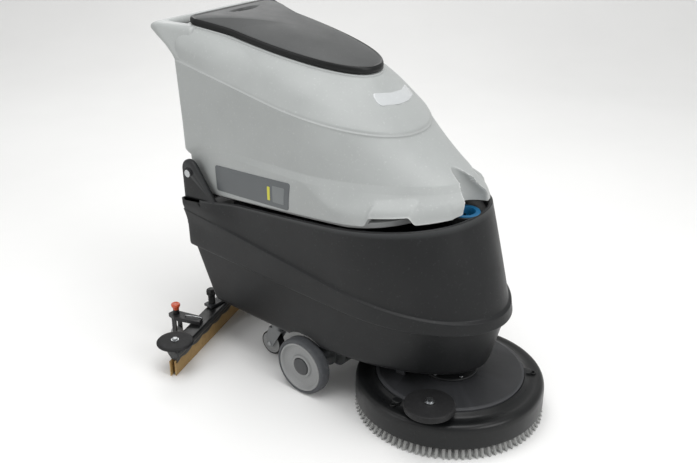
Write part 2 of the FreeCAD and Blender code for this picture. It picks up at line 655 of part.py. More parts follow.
def recovery_tank_shape():
    skin = float(size("shell_wall"))
    outer = shell_between(*tank_levels).fuse(shell_between(plinth_low, plinth_top))
    levels = [lip_plan.grown(-skin, skin)] + [p.grown(-skin) for p in tank_levels[1:-1]]
    room = shell_between(*levels, seat_plan.grown(-skin, -skin))
    well = float(size("vacuum_radius")) + 12
    roof = float(size("vacuum_top"))
    foot = Vector(float(size("vacuum_ahead")), 0, 520)
    room = room.cut(Part.makeCylinder(well + skin, roof + skin - 520, foot)).cut(scoop(skin))
    mouth = shell_between(lid_plan.grown(-20, -40), lid_plan.grown(-20, 10))
    tank = outer.cut(room).cut(mouth).cut(Part.makeCylinder(well, roof - 520, foot)).cut(scoop(0))
    tank = tank.cut(Part.makeCylinder(14, 20, Vector(float(size("vacuum_ahead")), 0, roof - 5)))
    lip = float(size("lip_height"))
    slope = float(rim_slope)
    top = [(handle_x - 12, float(size("handle_height")) + 9), (handle_x + 2, 980), (-466, 979),
           (-466, 866), (-491, 884), (-505, 904), (-527, 926), (-554, 948)]
    for _, side in BOTH:
        grip = prism([(193, lip + slope * 193 - 3), (305, lip + slope * 305 - 3),
                      (303, lip + slope * 303 + 11), (195, lip + slope * 195 + 11)],
                     *sorted((side * 150, side * 260)))
        tank = tank.cut(grip)
        tank = tank.fuse(prism(top, *sorted((side * 176, side * float(size("handle_half_width"))))))
        boss_y = sorted((side * 190, side * float(size("ear_inside") - seat)))
        tank = tank.fuse(round_bar(24, pivot_x, pivot_z, *boss_y))
        tank = tank.cut(round_bar(size("pivot_bolt_radius") + gap, pivot_x, pivot_z,
                                  *sorted((side * 199, side * 230))))
        pin_x, pin_z = float(hinge_x), float(hinge_z)
        lug = prism([(pin_x - 8, pin_z - 12), (pin_x + 6, pin_z - 12), (pin_x + 6, pin_z + 4), (pin_x - 5, pin_z + 6)],
                    *sorted((side * 14, side * 21)))
        tank = tank.fuse(lug).cut(round_bar(size("hinge_pin_radius"), hinge_x, hinge_z,
                                            *sorted((side * 10, side * 22))))
        tank = tank.cut(round_bar(size("pivot_pin_radius") + gap, LEVER_X, LEVER_Z,
                                  *sorted((side * 170, side * 192))))
    tank = tank.fuse(round_bar(size("handle_radius"), handle_x, size("handle_height"),
                               -float(size("handle_half_width")), float(size("handle_half_width"))))
    for y, z in PORTS:
        tank = tank.cut(Part.makeCylinder(float(size("hose_bore")), 60, Vector(-500, y, z), Vector(1, 0, 0)))
    return tank.removeSplitter()


outer_tank = shell_between(*tank_levels)
node("recovery_tank", shaped(recovery_tank_shape()))


def lid_shape():
    skin = 4.0
    edge, crown = float(size("lid_edge")), float(size("lid_crown"))
    rings = ((1.0, 0.0), (1.0, edge), (0.985, edge + 5), (0.93, edge + 0.32 * (crown - edge)),
             (0.8, edge + 0.6 * (crown - edge)), (0.6, edge + 0.82 * (crown - edge)),
             (0.35, edge + 0.95 * (crown - edge)), (0.12, crown))
    middle = -195.0

    def ring(share, lift, grow):
        p = lid_plan.grown(grow)
        return Plan(p.height + lift, p.slope, p.half * share, p.half_rear * share,
                    middle + (p.rear - middle) * share, middle + (p.nose - middle) * share,
                    middle + (p.start - middle) * share, p.power, p.corner * share)

    lid = shell_between(*[ring(share, lift, 0) for share, lift in rings])
    lid = lid.cut(shell_between(*[ring(share, max(lift - skin, -1), -skin) for share, lift in rings]))
    crest = float(lid_plan.height) + float(lid_plan.slope) * -425 + 37
    grip = Part.makeSphere(60, Vector(0, 0, 0))
    grip.Placement = FreeCAD.Placement(Vector(-425, 0, crest + 51), Rotation())
    lid = lid.fuse(Part.makeBox(70, 100, 14, Vector(-460, -50, crest - 20)).common(
        shell_between(*[ring(share, lift, 0) for share, lift in rings])))
    lid = lid.cut(grip)
    knuckle = prism([(float(hinge_x) - 12, float(hinge_z) - 3.7), (float(hinge_x) + 3, float(hinge_z) - 3.7),
                     (float(hinge_x) + 3, float(hinge_z) + 6), (float(hinge_x) - 12, float(hinge_z) + 8)],
                    -13.5, 13.5)
    slot = Part.makeBox(30, 44, 30, Vector(float(hinge_x) - 12, -22, float(hinge_z) - 8))
    lid = lid.cut(slot).fuse(knuckle)
    bore_pin = round_bar(size("hinge_pin_radius") + gap, hinge_x, hinge_z, -30, 30)
    return lid.cut(bore_pin).removeSplitter()


node("recovery_lid", shaped(lid_shape()))
node("lid_hinge_pin", rod(size("hinge_pin_radius"), 42, hinge_x, -21, hinge_z, "Y"))
seal = lid_plan.grown(-4, -2.5)
node("lid_gasket", shaped(shell_between(seal, seal.grown(0, 2.2)).cut(
    shell_between(seal.grown(-6, -1), seal.grown(-6, 4))).cut(
    Part.makeBox(40, 90, 30, Vector(float(hinge_x) - 20, -45, float(hinge_z) - 20)))))


def raised(grow, corners, low_y, high_y):
    """A thin piece that lies on the tank's skin, between two outlines' prisms."""
    skin = shell_between(*[p.grown(grow) for p in tank_levels[:-1]], seat_plan.grown(grow, grow))
    return skin.common(prism(corners, low_y, high_y)).cut(outer_tank)


badge = [(-352, 533), (-60, 556), (-53, 634), (-352, 609)]
node("side_badges", shaped(Part.makeCompound([raised(2.0, badge, *sorted((side * 150, side * 260)))
                                              for _, side in BOTH])))
node("nose_band", shaped(raised(1.2, [(66, 800), (98, 800), (98, 900), (66, 900)], -84, 104)))

vac_x, vac_top = size("vacuum_ahead"), size("vacuum_top")
vac_low = vac_top - size("vacuum_height")
vac_r = size("vacuum_radius")
node("vacuum_motor", turned([(0, 0), (44, 0), (44, 18), (vac_r - 8, 22), (vac_r - 8, 60), (vac_r, 62),
                             (vac_r, size("vacuum_height")), (12, size("vacuum_height")),
                             (12, size("vacuum_height") - 20), (0, size("vacuum_height") - 20)],
                            vac_x, 0, vac_low))
node("vacuum_cover", turned([(16, -26), (vac_r + 11.7, -26), (vac_r + 11.7, -20), (44, -20), (44, 0),
                             (38, 0), (38, -20), (16, -20)], vac_x, 0, vac_low))
cage_z = vac_top + size("shell_wall")
windows = [block(vac_x - 40, vac_x + 40, -9, 9, cage_z + 10, cage_z + 50),
           block(vac_x - 9, vac_x + 9, -40, 40, cage_z + 10, cage_z + 50)]
node("float_cage", cut(turned([(15, 0), (32, 0), (32, 66), (14, 66), (14, 62), (28, 62), (28, 3), (15, 3)],
                              vac_x, 0, cage_z), *windows))
ball = doc.addObject("Part::Sphere", "Ball")
bind(ball, "Radius", 20)
node("float_ball", place(ball, vac_x, 0, cage_z + 3 + 13.3))

for label, (y, z), spout in (("suction_port", PORTS[0], 44), ("drain_port", PORTS[1], 40)):
    hose = float(size("hose_bore"))
    body = Part.makeCylinder(hose + 12, 40, Vector(-490, y, z), Vector(1, 0, 0))
    body = body.fuse(Part.makeCylinder(hose + 4, spout + 40, Vector(-486 - spout, y, z), Vector(1, 0, 0)))
    body = body.cut(outer_tank).cut(Part.makeCylinder(hose, 200, Vector(-600, y, z), Vector(1, 0, 0)))
    node(label, shaped(body))

# ---------------------------------------------------------------- controls
panel_face = -503.0
panel = Part.makeBox(40, 250, 104, Vector(panel_face, -125, 764)).cut(outer_tank)
for y in (-30, 5):
    panel = panel.cut(Part.makeCylinder(9.3, 8, Vector(panel_face, y, 830), Vector(1, 0, 0)))
node("control_panel", shaped(panel))
node("battery_gauge", block(panel_face - 3, panel_face, 45, 105, 812, 846))
node("ignition_key", joined(rod(9, 5, panel_face - seat, -85, 830, "-X"),
                            block(panel_face - 28, panel_face - 4, -86.5, -83.5, 821, 839)))
for label, y in (("brush_button", -30), ("vacuum_button", 5)):
    node(label, turned([(0, 0), (9, 0), (9, 10), (7, 12), (0, 12)], panel_face + 4, y, 830, "-X"))

lever_pin = size("pivot_pin_radius")
lever = [rod(6.5, 330, -546, -165, 924, "Y")]
for _, side in BOTH:
    y0, y1 = (157, 165) if side > 0 else (-165, -157)
    lever.append(plate([(-552, 916), (-500, 921), (-500, 939), (-552, 932)], 8, 0, (y0 + y1) / 2, 0, "XZ_Plane"))
    pin0, pin1 = (160, 190) if side > 0 else (-190, -160)
    lever.append(rod(lever_pin, pin1 - pin0, LEVER_X, pin0, LEVER_Z, "Y"))
node("operating_lever", joined(*lever))

# ---------------------------------------------------------------- squeegee
apex = -size("squeegee_apex")
reach, sweep = size("squeegee_reach"), size("squeegee_sweep")
blade_top, rail_top = size("blade_height"), size("squeegee_top")


def chevron(front, rear, half):
    """A swept V in plan, its two edges given from the front blade's line."""
    tip = sweep * half
    return [(apex + front, 0), (apex + front + tip, half), (apex + rear + tip, half), (apex + rear, 0),
            (apex + rear + tip, -half), (apex + front + tip, -half)]


bosses = []
for _, side in BOTH:
    spot = (-size("bumper_behind"), side * size("bumper_aside"))
    bosses += [rod(13, 3.7, spot[0], spot[1], rail_top), rod(size("bumper_bolt_radius"), 25, *spot, rail_top),
               rod(6, 40, -size("clamp_behind"), side * size("clamp_aside"), rail_top)]
spigot = joined(rod(size("hose_bore") + 4, 46, apex - 8, 0, rail_top),
                *[plate(chevron(22, -34, reach), rail_top - blade_top, 0, 0, blade_top)])
hose_way = rod(size("hose_bore"), 120, apex - 8, 0, blade_top - 10)
node("squeegee_body", cut(joined(spigot, *bosses), hose_way))
node("front_blade", plate(chevron(size("blade_thickness"), 0, reach), blade_top))
node("rear_blade", plate(chevron(-10, -10 - size("blade_thickness"), reach + 10), blade_top))
for word, side in BOTH:
    node("bumper_roller_" + word, turned([(size("bumper_bolt_radius") + gap, 0), (50, 0), (54, 4),
                                          (size("bumper_radius"), 9), (49, size("bumper_height")),
                                          (size("bumper_bolt_radius") + gap, size("bumper_height"))],
                                         -size("bumper_behind"), side * size("bumper_aside"), rail_top + 4))

prop_x = -size("prop_behind")
arms = []
for word, side in BOTH:
    prop_y = side * size("prop_aside")
    edge = [(-432, side * 232), (-414, side * 262), (-498, side * 290), (prop_x - 20, side * 284),
            (prop_x - 20, side * 258), (-498, side * 250)]
    arm = [plate(edge if side > 0 else edge[::-1], 12, 0, 0, rail_top),
           rod(size("pivot_pin_radius"), 26, prop_x, prop_y - 13, size("prop_wheel_radius"), "Y")]
    for cheek in (-1, 1):
        arm.append(block(prop_x - 9, prop_x + 9, prop_y + cheek * 11 - 2, prop_y + cheek * 11 + 2,
                         size("prop_wheel_radius") - 8, rail_top))
    arms.append(joined(*arm))
    node("prop_wheel_" + word, turned([(size("pivot_pin_radius") + gap, -8), (size("prop_wheel_radius"), -8),
                                       (size("prop_wheel_radius"), 8), (size("pivot_pin_radius") + gap, 8)],
                                      prop_x, prop_y, size("prop_wheel_radius"), "Y"))
    node("height_knob_" + word, turned([(0, 0), (9, 0), (9, 14), (14, 18), (14, 30), (10, 36), (0, 36)],
                                       prop_x, prop_y, rail_top + 12 + seat))
    node("clamp_knob_" + word, turned([(6 + gap, 0), (11, 0), (11, 28), (16, 32), (16, 46), (12, 50), (0, 50),
                                       (0, 34), (6 + gap, 34)],
                                      -size("clamp_behind"), side * size("clamp_aside"), rail_top + 8 + seat))
node("prop_arms", group(*arms))

lift_x, lift_z = -size("lift_pivot_behind"), size("lift_pivot_height")
bar = block(-size("clamp_behind") - 16, -size("clamp_behind") + 16, -168, 168, rail_top, rail_top + 8)
sides = [plate([(-492, rail_top), (-462, rail_top), (lift_x - 12, lift_z - 9), (lift_x + 8, lift_z - 9),
                (lift_x + 8, lift_z + 9), (lift_x - 12, lift_z + 9), (-492, rail_top + 14)], 8,
               0, side * 40, 0, "XZ_Plane",
               circles=[(lift_x, lift_z, size("pivot_pin_radius") + gap)]) for _, side in BOTH]
stud_holes = [rod(6, 30, -size("clamp_behind"), side * size("clamp_aside"), rail_top - 5) for _, side in BOTH]
spigot_clear = rod(size("hose_bore") + 5, 60, apex - 8, 0, rail_top - 5)
node("squeegee_arm", cut(joined(bar, *sides), spigot_clear, *stud_holes))

yoke = [rod(size("caster_stem_radius"), 52, -300, 0, lift_z - 10),
        block(-322, -280, -35, 35, lift_z - 12, rail_low + 6 - seat),
        rod(size("pivot_pin_radius"), 96, lift_x, -48, lift_z, "Y")]
for _, side in BOTH:
    y0, y1 = (27, 35.5) if side > 0 else (-35.5, -27)
    yoke.append(block(lift_x - 9, -300, y0, y1, lift_z - 9, lift_z + 9))
node("swing_bracket", joined(*yoke))

# ---------------------------------------------------------------- check and write
doc.recompute()
faults = [o.Name for o in doc.Objects if {"Invalid", "Error"} & set(o.State)]
faults += [o.Label for o in NODES if o.Shape.isNull() or not o.Shape.isValid() or not o.Shape.Solids]
if faults:
    raise RuntimeError("not built: " + ", ".join(faults))
os.makedirs("parts", exist_ok=True)
for item in NODES:
    item.Shape.exportStep(os.path.join("parts", item.Label + ".step"))
box = FreeCAD.BoundBox()
for item in NODES:
    box.add(item.Shape.BoundBox)
print("%d nodes, box %s" % (len(NODES), box))
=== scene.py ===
import logging
from collections.abc import Callable, Iterable, Sequence
from dataclasses import dataclass, field
from enum import Enum
from math import cos, pi, radians, sin, sqrt, tau

import bmesh
import bpy
import numpy as np
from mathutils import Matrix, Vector


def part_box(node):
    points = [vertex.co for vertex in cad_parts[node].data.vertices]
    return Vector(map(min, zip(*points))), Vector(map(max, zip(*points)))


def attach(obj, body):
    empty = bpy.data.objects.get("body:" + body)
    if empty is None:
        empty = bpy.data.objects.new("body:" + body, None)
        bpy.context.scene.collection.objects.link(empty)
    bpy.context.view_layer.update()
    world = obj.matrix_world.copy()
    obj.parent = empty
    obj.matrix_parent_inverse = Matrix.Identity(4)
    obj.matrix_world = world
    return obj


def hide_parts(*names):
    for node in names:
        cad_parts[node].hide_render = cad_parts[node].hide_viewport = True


# A walk-behind floor scrubber dryer with one disc brush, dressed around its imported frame.
# Lengths in the classes are millimetres and become metres when a mesh is made.
# +X is forward, towards the brush, +Y is the machine's left and +Z is up.
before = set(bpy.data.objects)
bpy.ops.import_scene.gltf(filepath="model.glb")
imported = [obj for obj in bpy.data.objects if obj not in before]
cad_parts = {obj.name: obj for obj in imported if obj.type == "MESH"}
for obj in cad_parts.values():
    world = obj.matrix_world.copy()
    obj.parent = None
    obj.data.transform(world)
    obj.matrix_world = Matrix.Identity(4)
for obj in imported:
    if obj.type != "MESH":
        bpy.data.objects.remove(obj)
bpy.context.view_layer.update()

MM = 0.001
log = logging.getLogger("floor_scrubber")
Pair = tuple[float, float]
Triple = tuple[float, float, float]
BOTH = (("left", 1.0), ("right", -1.0))


# ---------------------------------------------------------------- colour and node helpers
def linear(code: str) -> tuple[float, float, float, float]:
    """Turns an sRGB hex colour into the linear colour that shaders use.

    Args:
        code: Six hex digits.

    Returns:
        Linear red, green, blue and an alpha of one.
    """
    parts = [int(code[i : i + 2], 16) / 255 for i in (0, 2, 4)]
    red, green, blue = (c / 12.92 if c <= 0.04045 else ((c + 0.055) / 1.055) ** 2.4 for c in parts)
    return red, green, blue, 1.0


def add_node(tree: bpy.types.NodeTree, kind: str, inputs: dict | None = None, **settings: object) -> bpy.types.Node:
    """Adds one node, with its settings and what goes into it.

    Args:
        tree: The tree that the node goes in.
        kind: The node's type.
        inputs: A value, or a socket to link, for each input by name or number.
        settings: The node's own properties.

    Returns:
        The new node.
    """
    node = tree.nodes.new(kind)
    for key, value in settings.items():
        setattr(node, key, value)
    for key, value in (inputs or {}).items():
        if isinstance(value, bpy.types.NodeSocket):
            tree.links.new(value, node.inputs[key])
        else:
            node.inputs[key].default_value = value
    return node


class Texture(Enum):
    """How a finish's fine relief is laid."""

    PEEL = "the soft orange peel of a moulded skin"
    LEATHER = "the cells of an etched mould"
    BRUSHED = "fine lines along one way"
    STRANDS = "upright strands"


@dataclass(frozen=True)
class Finish:
    """A material, and how its surface was made.

    Args:
        name: The material's common name.
        colour: Its main colour, sRGB hex.
        drift: The colour that it drifts to in broad patches.
        worn: The colour of its rubbed edges, also used as the painted highlight along sharp edges.
        roughness: Its mean roughness.
        texture: The kind of fine relief.
        grain: Width of the relief's grain, in mm.
        depth: Height of the relief, in mm.
        patch: Width of the broad patches, in mm.
        wear_and_highlight: How strongly sharp edges show the worn colour, as wear and as a painted highlight, 0 to
            1.
        spread: How far the roughness wanders either way.
        metallic: 1 for a bare metal, otherwise 0.
        ior: Refractive index of what isn't metal.
        coat: Share of a clear coat over it.
        sheen: Share of a dusty or fibrous sheen.
        subsurface: Share of light that enters it, as in gum rubber.
        specular: Strength of the highlights, 0.5 for a clean surface.
    """

    name: str
    colour: str
    drift: str
    worn: str
    roughness: float
    texture: Texture = Texture.PEEL
    grain: float = 1.5
    depth: float = 0.03
    patch: float = 140.0
    wear_and_highlight: float = 0.3
    spread: float = 0.06
    metallic: float = 0.0
    ior: float = 1.5
    coat: float = 0.0
    sheen: float = 0.0
    subsurface: float = 0.0
    specular: float = 0.5

    def material(self) -> bpy.types.Material:
        """Makes the material, or returns it where it has been made before."""
        found = bpy.data.materials.get(self.name)
        if found:
            return found
        material = bpy.data.materials.new(self.name)
        material.use_nodes = True
        tree = material.node_tree
        tree.nodes.clear()
        place = add_node(tree, "ShaderNodeTexCoord").outputs["Object"]
        shader = add_node(tree, "ShaderNodeBsdfPrincipled", {
            "Base Color": self.colouring(tree, place), "Roughness": self.dulling(tree, place),
            "Normal": self.relief(tree, place), "Metallic": self.metallic, "Coat Weight": self.coat,
            "Coat Roughness": 0.12, "Sheen Weight": self.sheen, "Sheen Roughness": 0.5,
            "Subsurface Weight": self.subsurface, "Subsurface Scale": 4 * MM})
        if not self.metallic:
            shader.inputs["IOR"].default_value = self.ior
            shader.inputs["Specular IOR Level"].default_value = self.specular
        add_node(tree, "ShaderNodeOutputMaterial", {"Surface": shader.outputs["BSDF"]})
        return material

    def colouring(self, tree: bpy.types.NodeTree, place: bpy.types.NodeSocket) -> bpy.types.NodeSocket:
        """Colour that drifts in patches, carries specks of dust and is lightened at sharp edges, as wear and as a
        painted highlight.
        """
        cloud = add_node(tree, "ShaderNodeTexNoise", {"Vector": place, "Scale": 1000 / self.patch, "Detail": 4.0,
                                                      "Roughness": 0.55}).outputs["Fac"]
        patches = add_node(tree, "ShaderNodeMapRange", {0: cloud, 1: 0.3, 2: 0.7}).outputs[0]
        base = add_node(tree, "ShaderNodeMix", {"Factor": patches, 6: linear(self.colour), 7: linear(self.drift)},
                        data_type="RGBA")
        speck = add_node(tree, "ShaderNodeTexNoise", {"Vector": place, "Scale": 1000 / (self.grain * 3),
                                                      "Detail": 2.0}).outputs["Fac"]
        dust = add_node(tree, "ShaderNodeMapRange", {0: speck, 1: 0.62, 2: 0.8, 4: 0.22}).outputs[0]
        dusty = add_node(tree, "ShaderNodeMix", {"Factor": dust, 6: base.outputs[2], 7: linear(self.worn)},
                         data_type="RGBA")
        # Sharp edges are lightened towards the worn colour: partly rubbed wear, partly a painted highlight where
        # light would catch a bead.
        edge = add_node(tree, "ShaderNodeNewGeometry").outputs["Pointiness"]
        rub_and_highlight = add_node(tree, "ShaderNodeMapRange", {0: edge, 1: 0.515, 2: 0.57, 4: self.wear_and_highlight}).outputs[0]
        worn = add_node(tree, "ShaderNodeMix", {"Factor": rub_and_highlight, 6: dusty.outputs[2], 7: linear(self.worn)},
                        data_type="RGBA")
        return worn.outputs[2]

    def dulling(self, tree: bpy.types.NodeTree, place: bpy.types.NodeSocket) -> bpy.types.NodeSocket:
        """Roughness that wanders with handling marks."""
        smear = add_node(tree, "ShaderNodeTexNoise", {"Vector": place, "Scale": 1000 / (self.patch * 0.3),
                                                      "Detail": 6.0, "Roughness": 0.65}).outputs["Fac"]
        return add_node(tree, "ShaderNodeMapRange", {
            0: smear, 1: 0.25, 2: 0.75, 3: self.roughness - self.spread,
            4: self.roughness + self.spread}).outputs[0]

    def relief(self, tree: bpy.types.NodeTree, place: bpy.types.NodeSocket) -> bpy.types.NodeSocket:
        """The fine relief, as a bump of its real height."""
        stretch = {Texture.BRUSHED: (1.0, 1.0, 14.0), Texture.STRANDS: (6.0, 6.0, 0.5)}.get(self.texture, (1.0,) * 3)
        laid = add_node(tree, "ShaderNodeMapping", {"Vector": place, "Scale": stretch}).outputs[0]
        if self.texture is Texture.LEATHER:
            height = add_node(tree, "ShaderNodeTexVoronoi", {"Vector": laid, "Scale": 1000 / self.grain,
                                                             "Randomness": 0.9}, feature="SMOOTH_F1").outputs[0]
        else:
            height = add_node(tree, "ShaderNodeTexNoise", {"Vector": laid, "Scale": 1000 / self.grain,
                                                           "Detail": 3.0}).outputs["Fac"]
        return add_node(tree, "ShaderNodeBump", {"Height": height, "Distance": self.depth * MM,
                                                 "Strength": 1.0}).outputs[0]


@dataclass(frozen=True)
class PatternedFinish(Finish):
    """A finish with a second colour laid over it in blotches, such as spangle, tread dust or grease.

    Args:
        blotch: The second colour, sRGB hex.
        blotch_width: Width of a blotch, in mm.
        cover: How much of the surface it takes, 0 to 1.
    """

    blotch: str = "000000"
    blotch_width: float = 12.0
    cover: float = 0.4

    def colouring(self, tree: bpy.types.NodeTree, place: bpy.types.NodeSocket) -> bpy.types.NodeSocket:
        """The plain colouring, with the blotches over it."""
        under = super().colouring(tree, place)
        cells = add_node(tree, "ShaderNodeTexVoronoi", {"Vector": place, "Scale": 1000 / self.blotch_width})
        grey = add_node(tree, "ShaderNodeSeparateColor", {0: cells.outputs["Color"]}).outputs[0]
        share = add_node(tree, "ShaderNodeMapRange", {0: grey, 1: 1 - self.cover, 2: 1.0, 4: 0.5}).outputs[0]
        return add_node(tree, "ShaderNodeMix", {"Factor": share, 6: under, 7: linear(self.blotch)},
                        data_type="RGBA").outputs[2]


# Linear polyethylene, rotomoulded: a satin skin with the soft peel that the hot mould leaves.
# The strong pale edges of this skin also paint a highlight along the bead of the crease.
LIGHT_TANK = Finish("Polyethylene_Light_Grey_Rotomoulded", "A0A3A2", "999C9B", "D0D2D1", 0.42, grain=2.2, depth=0.02,
                    wear_and_highlight=0.55, specular=0.4)
DARK_TANK = Finish("Polyethylene_Charcoal_Rotomoulded", "161718", "1B1C1D", "4E5051", 0.42, grain=2.4, depth=0.03,
                   wear_and_highlight=0.6, specular=0.28)
# ABS, injection moulded in an etched tool: a fine leather cell that spreads the highlights.
LID_TOP = Finish("ABS_Lid_Etched", "494A4A", "505151", "6C6D6D", 0.55, Texture.LEATHER, grain=1.6, depth=0.05,
                 specular=0.25)
# The lid's rolled edge is the same ABS painted nearly black: a painted shade along the edge.
LID_PAINTED_SHADE = Finish("ABS_Lid_Edge_Painted_Shade", "0F1010", "141515", "3A3B3C", 0.38, grain=1.2, depth=0.02, specular=0.25)
# Polypropylene, injection moulded in a polished tool: semi-gloss black.
DECK_PLASTIC = Finish("Polypropylene_Black_Polished", "111212", "151617", "3E4041", 0.33, grain=2.6, depth=0.02,
                      wear_and_highlight=0.5, spread=0.08, specular=0.3)
BLACK_PLASTIC = Finish("Nylon_Black_Glass_Filled", "0F0F10", "151516", "3C3C3D", 0.46, grain=1.1, depth=0.03,
                       specular=0.3)
LIGHT_PLASTIC = Finish("Polypropylene_Rim_Grey", "8E8F8F", "868787", "B4B5B5", 0.4, grain=1.6, depth=0.02,
                       specular=0.4)
CAP_PLASTIC = Finish("Polypropylene_Cap_Grey", "37383A", "3E3F40", "5F6061", 0.42, Texture.LEATHER, grain=1.0)
# Vulcanised rubber: dull, with scuffs greyed by the floor.
TYRE = PatternedFinish("Rubber_Grey_Vulcanised", "45474A", "3D3F42", "6A6C6E", 0.72, grain=0.9, depth=0.05,
                       sheen=0.05,
                       blotch="54575A", blotch_width=9.0, cover=0.3)
DARK_RUBBER = PatternedFinish("Rubber_Black_Vulcanised", "151516", "1B1B1C", "3C3C3D", 0.6, grain=0.8, depth=0.05,
                              specular=0.3,
                              blotch="242425", blotch_width=7.0, cover=0.3)
# Natural gum rubber sheet, cut in strips: warm tan, faintly translucent at its edges.
GUM = PatternedFinish("Gum_Rubber_Tan_Sheet", "A98B58", "9A7B49", "C8AE7C", 0.55, grain=1.4, depth=0.03,
                      subsurface=0.08, blotch="8C6D3E", blotch_width=11.0, cover=0.35)
# Nylon filament, punched in tufts: pale grey bundles, streaked along their length.
NYLON = Finish("Nylon_Filament_Tufts", "8B8C8A", "7B7C7A", "B2B3B1", 0.5, Texture.STRANDS, grain=3.0, depth=0.5,
               patch=24.0, sheen=0.15)
# Mild steel, powder coated black with a fine pebble, and stove enamelled grey.
COATED_STEEL = Finish("Steel_Powder_Coated_Black", "151617", "1B1C1D", "46474A", 0.5, grain=0.8, depth=0.04,
                      wear_and_highlight=0.6,
                      specular=0.35)
GREY_ENAMEL = Finish("Steel_Grey_Enamel", "5F6163", "585A5C", "8B8D8E", 0.38, grain=0.9, depth=0.03, wear_and_highlight=0.5)
# Mild steel, zinc plated: bright with a faint yellow-blue spangle.
ZINC = PatternedFinish("Steel_Zinc_Plated", "B7B9BA", "A9ABAD", "D8DADB", 0.28, Texture.BRUSHED, grain=0.6,
                       depth=0.01,
                       patch=30.0, metallic=1.0, blotch="94979A", blotch_width=4.0, cover=0.4)
# Aluminium, sand cast: a dull grey granular skin.
CAST_METAL = PatternedFinish("Aluminium_Sand_Cast", "8C8E8F", "7E8081", "A9ABAC", 0.5, grain=1.2, depth=0.08,
                             metallic=1.0, blotch="6B6D6E", blotch_width=6.0, cover=0.3)
# Phenolic resin, pressed, and polypropylene, moulded: glossy and plain coloured.
RED_KNOB = Finish("Phenolic_Red_Orange", "C4502C", "B54524", "DB7350", 0.35, grain=1.0, depth=0.02, coat=0.25)
STRAINER_BLUE = Finish("Polypropylene_Blue", "15618C", "11547B", "3F8DB8", 0.4, grain=1.2, depth=0.02)
# Vinyl film, printed and laminated: even and semi-gloss. The band is acrylic with a hard gloss.
FILM = Finish("Vinyl_Film_Slate", "54585A", "505456", "6C7072", 0.34, grain=0.7, depth=0.006, wear_and_highlight=0.1)
FILM_PANEL = Finish("Vinyl_Film_Light_Panel", "6F7374", "696D6E", "808485", 0.32, grain=0.7, depth=0.006, wear_and_highlight=0.1)
FILM_ACCENT = Finish("Vinyl_Film_Yellow", "C9C43A", "BDB832", "D9D566", 0.34, grain=0.7, depth=0.006, wear_and_highlight=0.1)
GLOSS_BAND = Finish("Acrylic_White_Gloss", "B9BCBD", "B3B6B7", "D8DADB", 0.14, grain=3.0, depth=0.004, coat=0.6,
                    wear_and_highlight=0.1)
# Battery cases are grained polypropylene; their posts are cast lead with a crystal bloom.
BATTERY_CASE = Finish("Polypropylene_Battery_Black", "1B1C1E", "232427", "434446", 0.45, Texture.LEATHER, grain=1.4)
LEAD = PatternedFinish("Lead_Cast", "75777B", "696B6F", "93959A", 0.45, grain=1.0, depth=0.05, metallic=1.0,
                       blotch="8E9094", blotch_width=3.0, cover=0.4)
# Polycarbonate and acrylic, moulded clear and tinted.
LENS = Finish("Polycarbonate_Smoked", "14181A", "1A1F21", "3A4042", 0.08, grain=4.0, depth=0.002, coat=1.0, wear_and_highlight=0.1)
GREEN_LENS = Finish("Acrylic_Green_Lens", "2E9A4B", "278A42", "63BE7B", 0.2, grain=1.0, depth=0.01, coat=0.4)
AMBER_LENS = Finish("Acrylic_Amber_Lens", "D08A1E", "C27E17", "E3AE5B", 0.2, grain=1.0, depth=0.01, coat=0.4)


# ---------------------------------------------------------------- outlines
def rounded(corners: Sequence[Sequence[float]], radius: float, closed: bool = True, steps: int = 5) -> np.ndarray:
    """Rounds the corners of an outline or a path, in two or three dimensions.

    Args:
        corners: The corner points.
        radius: How far from a corner its rounding reaches, at most 0.45 of the shorter run.
        closed: Whether the last point joins the first.
        steps: Points in each rounding.

    Returns:
        The rounded points.
    """
    points = np.array(corners, float)
    count = len(points)
    made = []
    for i, here in enumerate(points):
        if not closed and i in (0, count - 1):
            made.append(here)
            continue
        back, on = points[i - 1] - here, points[(i + 1) % count] - here
        reach = min(radius, 0.45 * float(np.linalg.norm(back)), 0.45 * float(np.linalg.norm(on)))
        start, end = here + back / np.linalg.norm(back) * reach, here + on / np.linalg.norm(on) * reach
        for t in np.linspace(0, 1, steps):
            made.append((1 - t) ** 2 * start + 2 * t * (1 - t) * here + t * t * end)
    return np.array(made)


def box_outline(left: float, low: float, right: float, high: float) -> list[Pair]:
    """Corners of an upright box; with left at 0, the profile of a turned rod."""
    return [(left, low), (right, low), (right, high), (left, high)]


def hexagon(across: float) -> list[Pair]:
    """Corners of a hexagon, from its middle to a corner."""
    return [(across * cos(tau * k / 6), across * sin(tau * k / 6)) for k in range(6)]


def circle(radius: float, x: float = 0.0, y: float = 0.0, count: int = 48) -> list[Pair]:
    """Points of a circle about (x, y)."""
    return [(x + radius * cos(tau * i / count), y + radius * sin(tau * i / count)) for i in range(count)]


def smoothstep(low: float, high: float, value: np.ndarray) -> np.ndarray:
    """Rises from 0 at low to 1 at high with flat ends."""
    share = np.clip((value - low) / (high - low), 0, 1)
    return share * share * (3 - 2 * share)


def soft_lower(first: np.ndarray, second: np.ndarray, blend: float) -> np.ndarray:
    """The lower of two surfaces, with the edge between them rounded over the blend's width."""
    share = np.clip(0.5 + 0.5 * (second - first) / blend, 0, 1)
    return second * (1 - share) + first * share - blend * share * (1 - share)


class Axis(Enum):
    """Where a piece's own axes point, as its across, its up and its length."""

    UP = ((1, 0, 0), (0, 1, 0), (0, 0, 1))
    FORWARD = ((0, 1, 0), (0, 0, 1), (1, 0, 0))
    BACK = ((0, -1, 0), (0, 0, 1), (-1, 0, 0))
    LEFT = ((-1, 0, 0), (0, 0, 1), (0, 1, 0))
    RIGHT = ((1, 0, 0), (0, 0, 1), (0, -1, 0))


